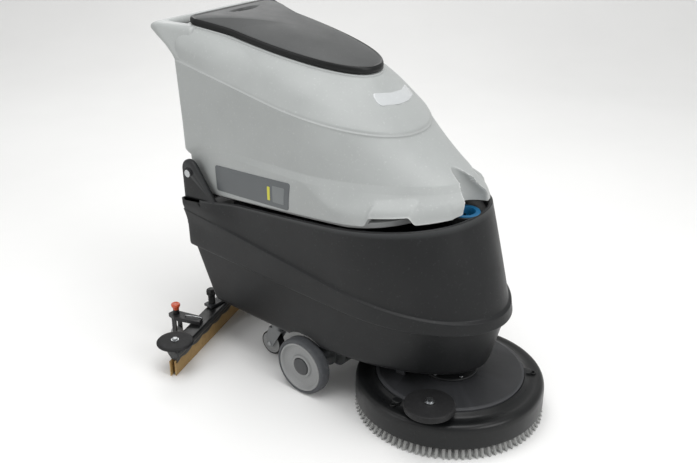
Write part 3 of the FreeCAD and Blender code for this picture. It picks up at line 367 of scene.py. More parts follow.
def grid_faces(rings: int, count: int, closed: bool = True) -> list[tuple[int, ...]]:
    """Faces between rings of points that follow each other.

    Args:
        rings: How many rings.
        count: Points in each ring.
        closed: Whether each ring joins up.
    """
    across = count if closed else count - 1
    return [(r * count + i, r * count + (i + 1) % count, (r + 1) * count + (i + 1) % count, (r + 1) * count + i)
            for r in range(rings - 1) for i in range(across)]


# ---------------------------------------------------------------- making a piece
@dataclass(frozen=True)
class Maker:
    """Makes the pieces of one finish that ride on one body.

    Args:
        body: The moving body.
        finish: What the pieces are made of.
        slot: The record's material slot; not used.
    """

    body: str
    finish: Finish
    slot: str

    def mesh(self, name: str, points: np.ndarray | Sequence[Triple], faces: Iterable[tuple[int, ...]],
             stands_for: Sequence[str] = (), sharp: float = 38.0) -> bpy.types.Object:
        """Makes a smooth-shaded piece from points in millimetres.

        Args:
            name: The piece's name.
            points: Its points.
            faces: Its faces, as point numbers.
            stands_for: The frame's nodes that it is shown instead of.
            sharp: Edges that turn by more degrees than this stay sharp.

        Returns:
            The piece, riding on its body.
        """
        data = bpy.data.meshes.new(name)
        data.from_pydata([tuple(p) for p in np.array(points, float) * MM], [], list(faces))
        work = bmesh.new()
        work.from_mesh(data)
        bmesh.ops.remove_doubles(work, verts=work.verts, dist=0.002 * MM)
        bmesh.ops.dissolve_degenerate(work, edges=work.edges, dist=0.001 * MM)
        bmesh.ops.recalc_face_normals(work, faces=work.faces)
        work.to_mesh(data)
        work.free()
        data.materials.append(self.finish.material())
        made = bpy.data.objects.new(name, data)
        bpy.context.scene.collection.objects.link(made)
        shade(made, sharp)
        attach(made, self.body)
        if stands_for:
            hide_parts(*stands_for)
        log.info("%s: %d faces on %s", name, len(data.polygons), self.body)
        return made

    def turned(self, name: str, profile: Sequence[Pair], at: Triple, axis: Axis = Axis.UP, rounding: float = 1.0,
               closed: bool = False, steps: int = 96, stands_for: Sequence[str] = ()) -> bpy.types.Object:
        """Turns a (radius, height) profile about an axis.

        Args:
            name: The piece's name.
            profile: Corners, from axis to axis, or round a ring where it is closed.
            at: The point that the heights start from.
            axis: Where the heights point.
            rounding: Rounding of the profile's corners.
            closed: Whether the profile is a closed ring.
            steps: Facets round the piece.
            stands_for: The frame's nodes that it is shown instead of.
        """
        line = rounded(profile, rounding, closed)
        across, up, along = (np.array(v, float) for v in axis.value)
        turns = tau * np.arange(steps) / steps
        spokes = np.outer(np.cos(turns), across) + np.outer(np.sin(turns), up)
        rings = [np.array(at) + r * spokes + h * along for r, h in line]
        if closed:
            rings.append(rings[0])
        return self.mesh(name, np.concatenate(rings), grid_faces(len(rings), steps), stands_for)

    def lofted(self, name: str, rings: Sequence[np.ndarray], stands_for: Sequence[str] = (),
               sharp: float = 38.0) -> bpy.types.Object:
        """Skins a run of rings of equal count and closes both ends towards their middles."""
        first, last = rings[0].mean(0)[None], rings[-1].mean(0)[None]
        count = len(rings[0])
        faces = grid_faces(len(rings), count)
        end = len(rings) * count
        faces += [(i, (i + 1) % count, end) for i in range(count)]
        faces += [(end - count + i, end - count + (i + 1) % count, end + 1) for i in range(count)]
        return self.mesh(name, np.concatenate([*rings, first, last]), faces, stands_for, sharp)

    def slab(self, name: str, outline: Sequence[Pair], depth: float, at: Triple, axis: Axis = Axis.UP,
             rounding: float = 2.0, edge: float = 1.0, stands_for: Sequence[str] = (),
             holes: Sequence[Sequence[Pair]] = ()) -> bpy.types.Object:
        """Makes a plate from its outline, with rounded corners and rolled edges.

        Args:
            name: The piece's name.
            outline: Corners, across and up.
            depth: Thickness along the axis.
            at: The outline's own origin.
            axis: Where the thickness points.
            rounding: Rounding of the outline's corners.
            edge: Radius of the rolled edges.
            stands_for: The frame's nodes that it is shown instead of.
            holes: Outlines of openings through it.
        """
        across, up, along = (np.array(v, float) for v in axis.value)
        work = bmesh.new()
        for ring in [rounded(outline, rounding) if rounding else np.array(outline), *map(np.array, holes)]:
            corners = [work.verts.new(tuple(np.array(at) + a * across + b * up)) for a, b in ring]
            for i, corner in enumerate(corners):
                work.edges.new((corners[i - 1], corner))
        bmesh.ops.triangle_fill(work, edges=work.edges, use_beauty=True)
        bmesh.ops.dissolve_limit(work, angle_limit=0.01, verts=work.verts, edges=work.edges)
        pushed = bmesh.ops.extrude_face_region(work, geom=list(work.faces))
        moved = [g for g in pushed["geom"] if isinstance(g, bmesh.types.BMVert)]
        bmesh.ops.translate(work, verts=moved, vec=Vector(tuple(along * depth)))
        bmesh.ops.recalc_face_normals(work, faces=work.faces)
        if edge:
            rims = [e for e in work.edges if len(e.link_faces) == 2 and e.calc_face_angle() > radians(50)]
            bmesh.ops.bevel(work, geom=rims, offset=edge, segments=3, profile=0.5, affect="EDGES",
                            clamp_overlap=True)
        work.verts.index_update()
        points = [tuple(v.co) for v in work.verts]
        faces = [tuple(v.index for v in f.verts) for f in work.faces]
        work.free()
        return self.mesh(name, points, faces, stands_for, 30.0)

    def tube(self, name: str, path: Sequence[Triple], radius: float, bend: float = 0.0, steps: int = 20,
             stands_for: Sequence[str] = ()) -> bpy.types.Object:
        """Sweeps a round section along a path whose corners are rounded.

        Args:
            name: The piece's name.
            path: Corner points.
            radius: Of the section.
            bend: Rounding of the path's corners.
            steps: Facets round the section.
            stands_for: The frame's nodes that it is shown instead of.
        """
        line = rounded(path, bend, closed=False, steps=9) if bend else np.array(path, float)
        rings = []
        normal = None
        for i, here in enumerate(line):
            along = line[min(i + 1, len(line) - 1)] - line[max(i - 1, 0)]
            along /= np.linalg.norm(along)
            if normal is None:
                normal = np.cross(along, (0.0, 0.0, 1.0) if abs(along[2]) < 0.9 else (1.0, 0.0, 0.0))
            normal = normal - along * float(normal @ along)
            normal /= np.linalg.norm(normal)
            side = np.cross(along, normal)
            ring = [here + radius * (cos(t) * normal + sin(t) * side) for t in tau * np.arange(steps) / steps]
            rings.append(np.array(ring))
        return self.lofted(name, rings, stands_for, 50.0)


def shade(made: bpy.types.Object, sharp: float) -> None:
    """Shades a piece smooth, apart from edges that turn by more than sharp degrees."""
    data = made.data
    data.polygons.foreach_set("use_smooth", [True] * len(data.polygons))
    data.set_sharp_from_angle(angle=radians(sharp))


def settle(made: bpy.types.Object, sharp: float = 38.0) -> None:
    """Makes a piece's modifiers part of its mesh and shades it again."""
    state = bpy.context.evaluated_depsgraph_get()
    state.update()
    data = bpy.data.meshes.new_from_object(made.evaluated_get(state))
    made.modifiers.clear()
    old, made.data = made.data, data
    bpy.data.meshes.remove(old)
    shade(made, sharp)


def cut_away(made: bpy.types.Object, tools: Sequence[bpy.types.Object], sharp: float = 38.0) -> None:
    """Cuts tools out of a piece and clears them away."""
    for tool in tools:
        cutter = made.modifiers.new("Cut", "BOOLEAN")
        cutter.operation, cutter.solver, cutter.object = "DIFFERENCE", "EXACT", tool
    settle(made, sharp)
    for tool in tools:
        bpy.data.objects.remove(tool)


@dataclass
class Carried:
    """The frame's own nodes that are shown as they are, with rolled edges and a finish."""

    group: bpy.types.NodeTree = field(init=False)
    crease: float = 32.0

    def __post_init__(self) -> None:
        """Makes the node group that shades a node smooth between its sharp edges."""
        tree = bpy.data.node_groups.new("SmoothBetweenEdges", "GeometryNodeTree")
        for way in ("INPUT", "OUTPUT"):
            tree.interface.new_socket("Geometry", in_out=way, socket_type="NodeSocketGeometry")
        start = add_node(tree, "NodeGroupInput")
        smooth = add_node(tree, "GeometryNodeSetShadeSmooth", {"Geometry": start.outputs[0]}, domain="FACE")
        turn = add_node(tree, "GeometryNodeInputMeshEdgeAngle").outputs["Unsigned Angle"]
        steep = add_node(tree, "FunctionNodeCompare", {0: turn, 1: radians(self.crease)}, operation="GREATER_THAN")
        sharp = add_node(tree, "GeometryNodeSetShadeSmooth", {
            "Geometry": smooth.outputs[0], "Selection": steep.outputs[0], "Shade Smooth": False}, domain="EDGE")
        add_node(tree, "NodeGroupOutput", {0: sharp.outputs[0]})
        self.group = tree

    def dress(self, finish: Finish, edge: float, *names: str) -> None:
        """Gives nodes a finish.

        Args:
            finish: What they are made of.
            edge: Radius of their rolled edges, in mm.
            names: The nodes.
        """
        for name in names:
            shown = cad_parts[name]
            shown.data.materials.clear()
            shown.data.materials.append(finish.material())
            flat = shown.modifiers.new("Flats", "DECIMATE")
            flat.decimate_type, flat.angle_limit = "DISSOLVE", radians(0.4)
            if edge:
                roll = shown.modifiers.new("Edges", "BEVEL")
                roll.width, roll.segments, roll.limit_method = edge * MM, 2, "ANGLE"
                roll.angle_limit = radians(self.crease)
            shown.modifiers.new("Smooth", "NODES").node_group = self.group
            log.info("%s: %s", name, finish.name)


def middle(node: str) -> Triple:
    """The middle of a node's box, in mm."""
    low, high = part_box(node)
    return tuple((low + high) / 2 / MM)


def low_z(node: str) -> float:
    """The height of a node's underside, in mm."""
    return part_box(node)[0].z / MM


def half_size(node: str) -> Triple:
    """Half of a node's box, each way, in mm."""
    low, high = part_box(node)
    return tuple((high - low) / 2 / MM)


# ---------------------------------------------------------------- tank skins
# How many points each stretch of a tank's outline takes: fine at the nose, where the recess is.
NOSE_TURNS = np.radians(np.concatenate([np.linspace(-90, -30, 61), np.linspace(-30, 30, 101)[1:-1],
                                        np.linspace(30, 90, 61)]))
SIDE_STEPS, CORNER_STEPS, REAR_STEPS = 36, 8, 16


@dataclass(frozen=True)
class Level:
    """One level of a tank: a straight tail with rounded corners and an oval nose, in mm."""

    height: float
    slope: float
    half: float
    half_rear: float
    rear: float
    nose: float
    start: float
    power: float = 2.0
    corner: float = 40.0

    def numbers(self) -> np.ndarray:
        """The level's sizes in a row, so that two levels can be mixed."""
        return np.array([self.height, self.slope, self.half, self.half_rear, self.rear, self.nose, self.start,
                         self.power, self.corner])

    def grown(self, by: float, lift: float = 0.0) -> "Level":
        """The level with its outline moved out, and lifted."""
        return Level(self.height + lift, self.slope, self.half + by, self.half_rear + by, self.rear - by,
                     self.nose + by, self.start, self.power, max(self.corner + by, 6.0))

    def side(self, x: np.ndarray) -> np.ndarray:
        """Half width of the straight tail at x, bowed a little so that it meets the nose smoothly."""
        back = np.clip((self.start - x) / (self.start - self.rear), 0, 1)
        return self.half + (self.half_rear - self.half) * back**1.4

    def outline(self) -> np.ndarray:
        """The outline's (x, y) points, from the right side round the nose to the left side and the rear."""
        across = np.sign(NOSE_TURNS) * np.abs(np.sin(NOSE_TURNS)) ** (2 / self.power) * self.half
        ahead = self.start + (self.nose - self.start) * np.abs(np.cos(NOSE_TURNS)) ** (2 / self.power)
        nose = np.stack([ahead, across], 1)
        along = np.linspace(self.start, self.rear + self.corner, SIDE_STEPS + 2)[1:-1]
        left = np.stack([along, self.side(along)], 1)
        turns = np.linspace(0, pi / 2, CORNER_STEPS)
        end = float(self.side(np.array(self.rear + self.corner)))
        bend = np.stack([self.rear + self.corner * (1 - np.sin(turns)), end - self.corner * (1 - np.cos(turns))], 1)
        back_y = np.linspace(end - self.corner, -(end - self.corner), REAR_STEPS + 2)[1:-1]
        back = np.stack([np.full_like(back_y, self.rear), back_y], 1)
        flip = np.array([1.0, -1.0])
        return np.concatenate([nose, left, bend, back, bend[::-1] * flip, left[::-1] * flip])

    def ring(self) -> np.ndarray:
        """The outline's points in space."""
        flat = self.outline()
        return np.column_stack([flat, self.height + self.slope * flat[:, 0]])


def between(levels: Sequence[Level], softness: Sequence[float], spacing: float) -> list[Level]:
    """Fills in the levels between a few, with each bend rounded off.

    Args:
        levels: The levels that shape the skin.
        softness: How far each one's rounding reaches along the skin, in mm; the two ends take none.
        spacing: Distance between levels along the skin.

    Returns:
        The levels, close together.
    """
    rows = np.array([level.numbers() for level in levels])

    def run(first: np.ndarray, second: np.ndarray) -> float:
        change = np.abs(second - first)
        return float(max(change[0], change[2], change[3], change[5] * 0.6, 0.5))

    made = [rows[0]]
    for i in range(1, len(rows)):
        if i < len(rows) - 1:
            before, after = run(rows[i - 1], rows[i]), run(rows[i], rows[i + 1])
            reach = softness[i]
            start = rows[i] + (rows[i - 1] - rows[i]) * min(reach / before, 0.5)
            end = rows[i] + (rows[i + 1] - rows[i]) * min(reach / after, 0.5)
        else:
            start = end = rows[i]
        steps = max(int(run(made[-1], start) / spacing), 1)
        made += [made[-1] + (start - made[-1]) * s / steps for s in range(1, steps + 1)]
        if i < len(rows) - 1:
            bends = max(int(run(start, end) / min(spacing, 2.5)), 3)
            for t in np.linspace(0, 1, bends + 1)[1:]:
                made.append((1 - t) ** 2 * start + 2 * t * (1 - t) * rows[i] + t * t * end)
    return [Level(*row) for row in made]


@dataclass
class Skin:
    """The outside of a tank, so that labels and bands can lie on it."""

    levels: list[Level]

    def at(self, z: float, x: float = 0.0) -> Level:
        """The level that passes through height z at x."""
        heights = [level.height + level.slope * x for level in self.levels]
        rows = np.array([level.numbers() for level in self.levels])
        return Level(*(np.interp(z, heights, column) for column in rows.T))

    def side_point(self, x: float, z: float, lift: float, side: float) -> Triple:
        """A point on the side of the tank, lifted off it by a distance."""
        return x, side * (float(self.at(z, x).side(np.array(x))) + lift), z

    def nose_point(self, y: float, height: float, lift: float) -> Triple:
        """A point on the nose, where the level with that number is height, lifted forward."""
        level = self.at(height)
        share = (1 - min(abs(y) / level.half, 1.0) ** level.power) ** (1 / level.power)
        x = level.start + (level.nose - level.start) * share
        return x + lift * 0.8, y, level.height + level.slope * x + lift * 0.6


def sticker(maker: Maker, name: str, outline: Sequence[Pair], place: Callable[[float, float, float], Triple],
            thick: float, stands_for: Sequence[str] = (), rounding: float = 8.0) -> bpy.types.Object:
    """Lays a thin plate with rolled edges on a curved skin.

    Args:
        maker: What makes it.
        name: The piece's name.
        outline: Its corners, along and up the skin.
        place: Turns a place on the outline and a lift into a point in space.
        thick: How far it stands proud.
        stands_for: The frame's nodes that it is shown instead of.
        rounding: Rounding of its corners.
    """
    ring = rounded(outline, rounding, steps=8)
    dense = np.concatenate([np.linspace(ring[i - 1], here, 4)[:-1] for i, here in enumerate(ring)])
    centre = dense.mean(0)
    sunk, edge = -1.5, thick * 0.6
    layers = [(1.0, sunk), (1.0, edge), (0.994, thick), (0.97, thick)]
    layers += [(share, thick) for share in np.linspace(0.85, 0.05, 9)]
    rings = [np.array([place(*(centre + (p - centre) * share), lift) for p in dense]) for share, lift in layers]
    return maker.lofted(name, rings, stands_for, 60.0)


# ---------------------------------------------------------------- upper tank
@dataclass
class UpperTank:
    """The recovery tank: light grey shell, handle, inner dome, badges and nose band."""

    body: str = "recovery"
    skin_wall: float = 6.0
    droop: float = 34.0
    droop_height: float = 646.0
    droop_spread: float = 45.0
    scoop_foot: float = 562.0
    scoop_ahead: float = 416.0
    scoop_radius: float = 84.0
    scoop_along: float = -0.627
    scoop_up: float = 0.779
    scoop_narrowing: float = -0.4
    scoop_softness: float = 3.0
    scoop_arch: float = 8.0
    grip_start: float = 184.0
    grip_end: float = 300.0
    grip_lift: float = 22.0
    lip: Level = Level(557, 0.12, 233, 200, -466, 381, 109, 1.9, 18)
    seat: Level = Level(904, -0.15, 136, 176, -497, 54, -343, 2.3, 34)
    levels: list[Level] = field(init=False)

    def __post_init__(self) -> None:
        """Works out the skin's levels from its bends."""
        crease = Level(804, -0.17, 215, 216, -498, 193, -154, 2.1, 20)
        shaping = [self.lip, Level(590, 0.12, 236, 202, -467, 387, 98, 1.6, 18),
                   Level(650, 0.02, 227, 207, -468, 360, -16, 1.7, 18),
                   Level(668, 0.02, 217, 214, -483, 345, -18, 1.7, 18),
                   crease.grown(0.8, -6.0), crease.grown(1.0, -1.4), crease.grown(-2.4, 1.6),
                   crease.grown(-4.2, 7.0),
                   Level(868, -0.15, 180, 214, -506, 94, -166, 2, 24), self.seat]
        self.levels = between(shaping, [0, 18, 1.6, 1.8, 2, 0.7, 0.9, 2, 40, 0], 5.0)

    def recessed(self, points: np.ndarray, skin: float) -> np.ndarray:
        """Sinks a conical filling recess into the nose, lifts the lip over it and over the side grips, and droops
        the chamfer at the rear.

        Args:
            points: Points of the shell.
            skin: How far inside the outer skin they lie.

        Returns:
            The moved points.
        """
        x, y, z = points.T.copy()
        foot, along, narrowing = self.scoop_foot, self.scoop_along, self.scoop_narrowing
        rise = (z - foot) * self.scoop_up
        square = 1 - along**2 * (1 + narrowing**2)
        linear = -2 * along * (rise * (1 + narrowing**2) + self.scoop_radius * narrowing)
        constant = ((z - foot) ** 2 + y**2 - rise**2 * (1 + narrowing**2) - self.scoop_radius**2
                    - 2 * self.scoop_radius * narrowing * rise)
        inside = linear**2 - 4 * square * constant
        back = (-linear - np.sqrt(np.maximum(inside, 0))) / (2 * square)
        radius = self.scoop_radius + narrowing * (along * back + rise)
        wall = np.where((inside > 0) & (radius > 4) & (x > 200), self.scoop_ahead + back - skin, 1e4)
        x = soft_lower(x, wall, self.scoop_softness)
        above = z - (self.lip.height + self.lip.slope * points[:, 0])
        fade = np.clip(1 - above / 60, 0, 1)
        arch = self.scoop_arch * np.sqrt(np.clip(1 - (y / self.scoop_radius) ** 2, 0, 1)) * (points[:, 0] > 250)
        grip = smoothstep(self.grip_start, self.grip_start + 15, x) * (1 - smoothstep(self.grip_end - 17,
                                                                                   self.grip_end, x))
        grip = np.where(np.abs(y) > 130, grip * self.grip_lift, 0)
        near = np.exp(-(((z - self.droop_height) / self.droop_spread) ** 2))
        droop = self.droop * (1 - smoothstep(-484, -400, points[:, 0])) * near
        return np.column_stack([x, y, z + (arch + grip) * fade - droop])

    def build(self) -> None:
        """Makes every piece of the tank."""
        shell = Maker(self.body, LIGHT_TANK, "upper_shell")
        self.shell(shell)
        self.handle(shell)
        self.inside(shell)
        self.trim()

    def shell(self, maker: Maker) -> None:
        """The outer skin, the lip's underside, the seat for the lid and the inner wall."""
        wall = self.skin_wall
        under = [self.recessed(self.lip.grown(-g, g * 0.02).ring(), g) for g in (22.0, 12.0)]
        roll = [self.recessed(self.lip.grown(-3.0 * (1 - sin(t)), 3.0 * (1 - cos(t))).ring(), 0)
                for t in np.linspace(0, pi / 2, 4)]
        outer = [self.recessed(v.ring(), 0) for v in self.levels[1:-1]]
        crown = self.levels[-1]
        rim = [crown.grown(-4.0 * (1 - cos(t)), 4.0 * sin(t) - 4.0).ring() for t in np.linspace(0, pi / 2, 5)]
        mouth = [Level(906.5, -0.15, 111 + g, 140 + g, -460 - g, 30 + g, -343, 2.3, 10 + g).grown(0, lift).ring()
                 for g, lift in ((2.0, -2.5), (0.0, -5.0), (0.0, -22.0))]
        inner = [self.recessed(v.grown(-wall).ring(), wall) for v in self.levels[-8:0:-4]]
        floor = [self.recessed(self.lip.grown(-wall - 2, 8).ring(), wall)]
        maker.lofted("upper_tank_shell", under + roll + outer + rim + mouth + inner + floor, ["recovery_tank"], 42.0)
        base = Level(542.1, 0.12, 214, 176, -422, 286, 110)
        plinth = [base.grown(-14).ring(), base.grown(-2).ring(), base.grown(0, 2).ring(), base.grown(0, 16).ring()]
        maker.lofted("upper_tank_plinth", plinth)

    def handle(self, maker: Maker) -> None:
        """The bent grip bar and its two arms, melted into one moulding."""
        bar_x, bar_z, radius, half = -563.0, 963.0, 17.0, 222.0
        arm = [(-579, 963), (-574, 975), (-562, 979.5), (-450, 974), (-450, 858), (-484, 870), (-505, 904),
               (-527, 926), (-556, 946)]
        parts = []
        for word, side in BOTH:
            at = (0.0, side * 199.0 + 23.0, 0.0)
            parts.append(maker.slab("arm_" + word, arm, 46.0, at, Axis.RIGHT, 14.0, 15.0))
        parts.append(maker.tube("grip", [(bar_x, -half + radius, bar_z), (bar_x, half - radius, bar_z)], radius))
        points, faces = self.merged(parts)
        inward = 0.04 + 0.15 * smoothstep(915, 978, points[:, 2])
        points[:, 1] *= 1 - inward * smoothstep(-545, -468, points[:, 0])
        grip = maker.mesh("upper_tank_handle", points, faces)
        melt = grip.modifiers.new("Melt", "REMESH")
        melt.mode, melt.voxel_size = "VOXEL", 3.0 * MM
        ease = grip.modifiers.new("Ease", "SMOOTH")
        ease.factor, ease.iterations = 0.6, 16
        settle(grip, 180.0)

    @staticmethod
    def merged(parts: Sequence[bpy.types.Object]) -> tuple[np.ndarray, list[tuple[int, ...]]]:
        """The points and faces of several pieces as one, clearing the pieces away."""
        points, faces, start = [], [], 0
        for part in parts:
            points += [tuple(v.co / MM) for v in part.data.vertices]
            faces += [tuple(i + start for i in f.vertices) for f in part.data.polygons]
            start = len(points)
            bpy.data.objects.remove(part)
        return np.array(points), faces

    def inside(self, maker: Maker) -> None:
        """The dome over the vacuum motor, which the float cage stands on."""
        x, _, _ = middle("vacuum_motor")
        roof = low_z("float_cage")
        dome = [(0, roof), (74, roof), (87, roof - 12), (90, 575), (0, 575)]
        maker.turned("vacuum_dome", dome, (x, 0, 0), rounding=9.0)

    def trim(self) -> None:
        """The slate badges with their light panel and yellow bar, and the gloss band on the nose."""
        skin = Skin(self.levels)
        badge = [(-352, 533), (-60, 556), (-53, 634), (-352, 609)]
        panel = [(-118, 565), (-76, 568), (-72, 616), (-118, 612)]
        bar = [(-138, 566), (-128, 567), (-128, 606), (-138, 605)]
        for word, side in BOTH:
            for name, finish, outline, thick, rounding, node in (
                    ("badge_", FILM, badge, 1.8, 9.0, ["side_badges"]),
                    ("badge_panel_", FILM_PANEL, panel, 2.1, 2.0, []),
                    ("badge_bar_", FILM_ACCENT, bar, 2.1, 1.5, [])):
                sticker(Maker(self.body, finish, "badge_grey"), name + word, outline,
                        lambda x, z, lift, side=side: skin.side_point(x, z, lift, side), thick, node, rounding)
        band = [(-62, 852), (94, 845), (100, 860), (-56, 873)]
        sticker(Maker(self.body, GLOSS_BAND, "band_white"), "nose_gloss_band", band, skin.nose_point, 1.6,
                ["nose_band"], 10.0)


# ---------------------------------------------------------------- lid
@dataclass
class Lid:
    """The domed lid of the upper tank, with its rolled edge, finger recess and hinge knuckle."""

    body: str = "lid"
    seat: Level = Level(906.5, -0.15, 133, 171, -490, 52, -343, 2.3, 26)
    edge: float = 13.0
    crown: float = 47.0
    middle_x: float = -195.0
    recess_x: float = -428.0
    recess_depth: float = 15.0

    def shrunk(self, share: float, lift: float) -> Level:
        """The seat's outline shrunk towards the lid's middle, and lifted."""
        s, m = self.seat, self.middle_x
        return Level(s.height + lift, s.slope, s.half * share, s.half_rear * share, m + (s.rear - m) * share,
                     m + (s.nose - m) * share, m + (s.start - m) * share, s.power, s.corner * share)

    def dome(self, share: float) -> float:
        """Height of the dome over the seat where the outline is shrunk to a share."""
        return self.edge + (self.crown - self.edge) * (1 - share**2.6)

    def dimpled(self, points: np.ndarray) -> np.ndarray:
        """Sinks the finger recess near the rear, steep at its rear wall."""
        x, y, z = points.T.copy()
        across = (y / 52) ** 2
        ahead = (x - self.recess_x) / np.where(x > self.recess_x, 26, 13)
        return np.column_stack([x, y, z - self.recess_depth * (1 - smoothstep(0.45, 1.0, across + ahead**2))])

    def build(self) -> None:
        """Makes the top, the rolled edge and the hinge knuckle."""
        shares = np.concatenate([np.linspace(0.985, 0.3, 78), [0.2, 0.1, 0.03]])
        heights = np.array([self.dome(s) for s in shares])
        top = [self.dimpled(self.shrunk(s, h).ring()) for s, h in zip(shares, heights)]
        lower = [self.shrunk(s, 6.0).ring() for s in (0.3, 0.8, 0.96)]
        start = [self.shrunk(0.985, self.edge + 1.0).ring()]
        Maker(self.body, LID_TOP, "lid_shell").lofted("lid_top", lower + start + top, ["recovery_lid"], 50.0)
        # The rolled edge is drawn in the darkened plastic, a painted shade along the lid's edge.
        roll = [self.shrunk(0.955, 0.5), self.shrunk(0.99, 0.0), self.shrunk(1.0, 2.5), self.shrunk(1.0, 9.0),
                self.shrunk(0.998, 13.0), self.shrunk(0.992, 16.5), self.shrunk(0.983, 18.0),
                self.shrunk(0.972, 17.0)]
        Maker(self.body, LID_PAINTED_SHADE, "lid_shell").lofted("lid_rolled_edge", [v.ring() for v in roll], sharp=50.0)
        # The knuckle is drawn in the same darkened plastic, a painted shade in the notch at the lid's nose.
        x, _, z = middle("lid_hinge_pin")
        knuckle = [(x - 14, z - 3.4), (x + 3, z - 3.4), (x + 3.5, z + 5), (x - 14, z + 9)]
        Maker(self.body, LID_PAINTED_SHADE, "lid_shell").slab("lid_knuckle", knuckle, 27.0, (0, 13.5, 0), Axis.RIGHT, 2.0,
                                                     0.8)


# ---------------------------------------------------------------- lower tank
@dataclass
class LowerTank:
    """The solution tank: charcoal shell on which the upper tank tilts, with its batteries and strainer."""

    body: str = "machine"
    rim: Level = Level(541.8, 0.12, 236, 206, -477, 381, 75, 2.2, 18)
    deck_drop: float = 30.0
    rim_width: float = 11.0
    ear_out: float = 237.4
    arch_radius: float = 98.0
    well_room: float = 7.0
    ear_radius: float = 32.0
    ear_sunk: float = 9.0
    levels: list[Level] = field(init=False)

    def __post_init__(self) -> None:
        """Works out the skin's levels from its bends."""
        ledge = Level(322, -0.03, 231, 227, -477, 476, 120, 2, 16)
        crease = Level(390, -0.12, 234, 229, -479, 470, 115, 2, 16)
        step = Level(394.5, -0.12, 227, 224, -475, 461, 115, 2, 16)
        shaping = [Level(160, 0, 207, 198, -396, 418, 0, 2, 16), Level(166, 0, 213, 204, -403, 425, 1, 2, 16),
                   Level(317, -0.03, 217, 214, -466, 460, 110, 2, 16),
                   Level(320, -0.03, 229, 225, -475, 474, 119, 2, 16),
                   ledge, crease, step, self.rim]
        self.levels = between(shaping, [0, 9, 2, 3.0, 7, 1.0, 1.6, 0], 7.0)

    def shouldered(self, points: np.ndarray) -> np.ndarray:
        """Swells the rear of the sides out to the ears."""
        x, y, z = points.T.copy()
        share = (1 - smoothstep(-395, -250, x)) * smoothstep(395, 470, z) * (np.abs(y) > 150)
        return np.column_stack([x, np.where(share > 0, np.sign(y) * (np.abs(y) * (1 - share)
                                                                      + self.ear_out * share), y), z])

    def build(self) -> None:
        """Makes the shell, ears, bolts' cups, fill collar, strainer and batteries."""
        maker = Maker(self.body, DARK_TANK, "lower_shell")
        self.shell(maker)
        self.ears(maker)
        self.filler(maker)
        self.batteries()

    def shell(self, maker: Maker) -> None:
        """The skin with its rolled rim, sunken deck, battery well and wheel arches."""
        outer = [self.shouldered(v.ring()) for v in self.levels]
        width = self.rim_width
        roll = [self.shouldered(self.rim.grown(-width / 2 * (1 - cos(t)), width / 2 * (sin(t) - 0.5)).ring())
                for t in np.linspace(0.4, pi - 0.2, 8)]
        deck = [self.shouldered(self.rim.grown(-width - 1, -6).ring()), self.shouldered(
            self.rim.grown(-width - 4, -self.deck_drop + 6).ring()),
            self.rim.grown(-width - 12, -self.deck_drop).ring()]
        shell = maker.lofted("lower_tank_shell", outer + roll + deck, ["solution_tank"], 40.0)
        tools = []
        low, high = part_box("batteries")
        room = self.well_room
        well = box_outline(low.x / MM - room, low.y / MM - room, high.x / MM + room, high.y / MM + room)
        tools.append(maker.slab("well_tool", well, 400.0, (0, 0, low.z / MM - 1), Axis.UP, 14.0, 0.0))
        motor_x, _, _ = middle("brush_motor")
        tools.append(maker.turned("motor_tool", box_outline(0, 150, 90, 330), (motor_x, 0, 0)))
        arm = box_outline(58, -124, motor_x, 124)
        tools.append(maker.slab("arm_tool", arm, 60.0, (0, 0, 155), Axis.UP, 12.0, 0.0))
        wheel_x, _, wheel_z = middle("tyre_left")
        for word, side in BOTH:
            tools.append(maker.turned("arch_tool_" + word, box_outline(0, 0, self.arch_radius, 90),
                                      (wheel_x, side * 187, wheel_z), Axis.LEFT if side > 0 else Axis.RIGHT))
        cut_away(shell, tools, 40.0)

    def ears(self, maker: Maker) -> None:
        """The two ears that carry the upper tank, with a ring sunk round each bolt."""
        x, _, z = middle("pivot_bolts")
        base = self.rim.height + self.rim.slope * x
        rear = self.rim.rear + 1.0
        radius, turns = self.ear_radius, np.linspace(pi, 0.5, 15)
        top = [(x + 2 + radius * cos(t), z + 8 + radius * sin(t)) for t in turns]
        outline = [(rear + 4, base - 90), *top, (x + 92, base + 12), (x + 120, base + 4), (x + 150, base - 30),
                   (x + 120, base - 90)]
        for word, side in BOTH:
            at = (0.0, 238.0 if side > 0 else -224.0, 0.0)
            ear = maker.slab("ear_" + word, outline, 14.0, at, Axis.RIGHT, 6.0, 5.0)
            for point in ear.data.vertices:
                sunk = (1 - smoothstep(base - 40, base + 34, point.co.z / MM)) * self.ear_sunk
                sunk += 7 * smoothstep(x + 60, x + 120, point.co.x / MM)
                point.co.y -= side * float(sunk) * MM
            facing = Axis.LEFT if side > 0 else Axis.RIGHT
            ring = box_outline(12.5, 0, 17.5, 6)
            cup = maker.turned("cup_tool_" + word, ring, (x, side * 236.4, z), facing, 0.5, True)
            hole = maker.turned("bolt_tool_" + word, box_outline(0, -20, 6.3, 6), (x, side * 236, z), facing,
                                0.1)
            cut_away(ear, [cup, hole], 32.0)

